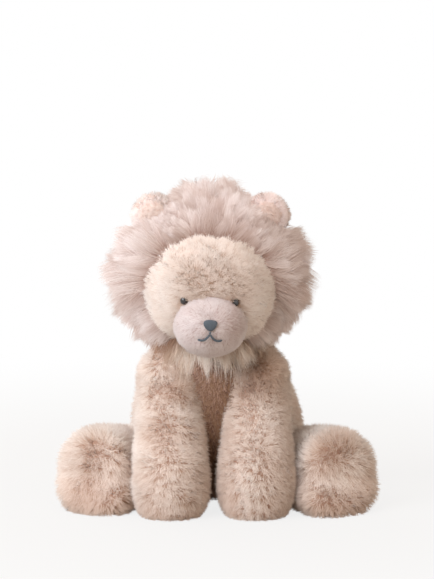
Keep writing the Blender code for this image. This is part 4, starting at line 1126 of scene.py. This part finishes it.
rows = smooth_rows(TAIL_ROWS, 40)
path = TAIL_ROOT + TAIL_SWEEP * rows[:, :3]
path[:, 2] = np.maximum(path[:, 2], TAIL_RADIUS + 0.001)
rings = tube_rings(path, TAIL_RADIUS * rows[:, 3] - TAIL_SINK, np.array([0, 0, 1.0]), 28)
tail = closed_form("tail_cloth", rings)
dress(tail, "tail", body_cloth, "tail_skin")
draw = np.random.default_rng(121)
spots, normals = roots_on(tail, TAIL_PICKS, draw)
clear = ~in_torso(spots, 0.006)
spots, normals = spots[clear], normals[clear]
ahead = unit(np.gradient(path, axis=0))[nearest(spots.astype(np.float32), path.astype(np.float32))]
grow("tail_pile", "tail", spots, normals, TAIL_PILE, 0.5 * ahead, 122, body_plush, "body_pile",
     tone=patches(spots, 0.03, 123))
tuft_place = TAIL_ROOT + [TAIL_SWEEP[0], TAIL_SWEEP[1], 0]
tuft_place[2] = TUFT_RADII[2] + 0.001
shape = oval_points(TUFT_RADII * [0.5, 0.42, 0.42], rings=20, sides=30)
core = closed_form("tuft_cloth", tuft_place + shape)
dress(core, "tail", mane_cloth, "tail_tuft")
spots, normals = roots_on(core, TUFT_PICKS, draw)
comb = np.array([[0.9, 0, 0.05]]) + 0 * spots
grow("tuft_pile", "tail", spots, normals, TUFT_PILE, comb, 124, mane_plush, "mane_pile", lift=0.6,
     bend=(0.2, 0, -0.1), stray=0.15, clumps=((9, 0.3), (50, 0.4)), uneven=0.12, rows=MANE_ROWS)


# Fillings, inside the cloth: crimped polyester fibre, woven pouches of pellets, and the eye washers.
# They keep their CAD shapes, and the firm neck plug gets a smooth cover.
NECK_PLACE = np.array([0, -0.060, 0.168])
NECK_RADIUS = 0.0275
# Each filling: the end of its nodes' names, its material, dark and light colour, texture, the texture's
# size and depth in millimetres, and roughness.
FILLINGS = (
    ("stuffing", "crimped_polyester_fibre", "DEDAD0", "F4F1EA", "TexNoise", 1.5, 0.8, 0.95),
    ("bean_pouch", "woven_pellet_pouch", "B9AF9B", "DDD5C5", "TexVoronoi", 4.0, 1.2, 0.85),
    ("washer", "moulded_nylon", "DCD9D1", "ECEAE4", "TexNoise", 0.8, 0.05, 0.4),
)

neck = closed_form("neck_plug", NECK_PLACE + oval_points(np.full(3, NECK_RADIUS), 30, 48))
dress(neck, "neck", body_cloth, "neck_stuffing")
for ending, look, dark, light, texture, size, depth, roughness in FILLINGS:
    grain = {"Scale": 1 / (size * MM)}
    material = patterned(look, dark, light, texture, (0.6, depth), grain, Roughness=roughness)
    for name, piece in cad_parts.items():
        if name.endswith(ending) and not piece.hide_render:
            piece.data.materials.clear()
            piece.data.materials.append(material)
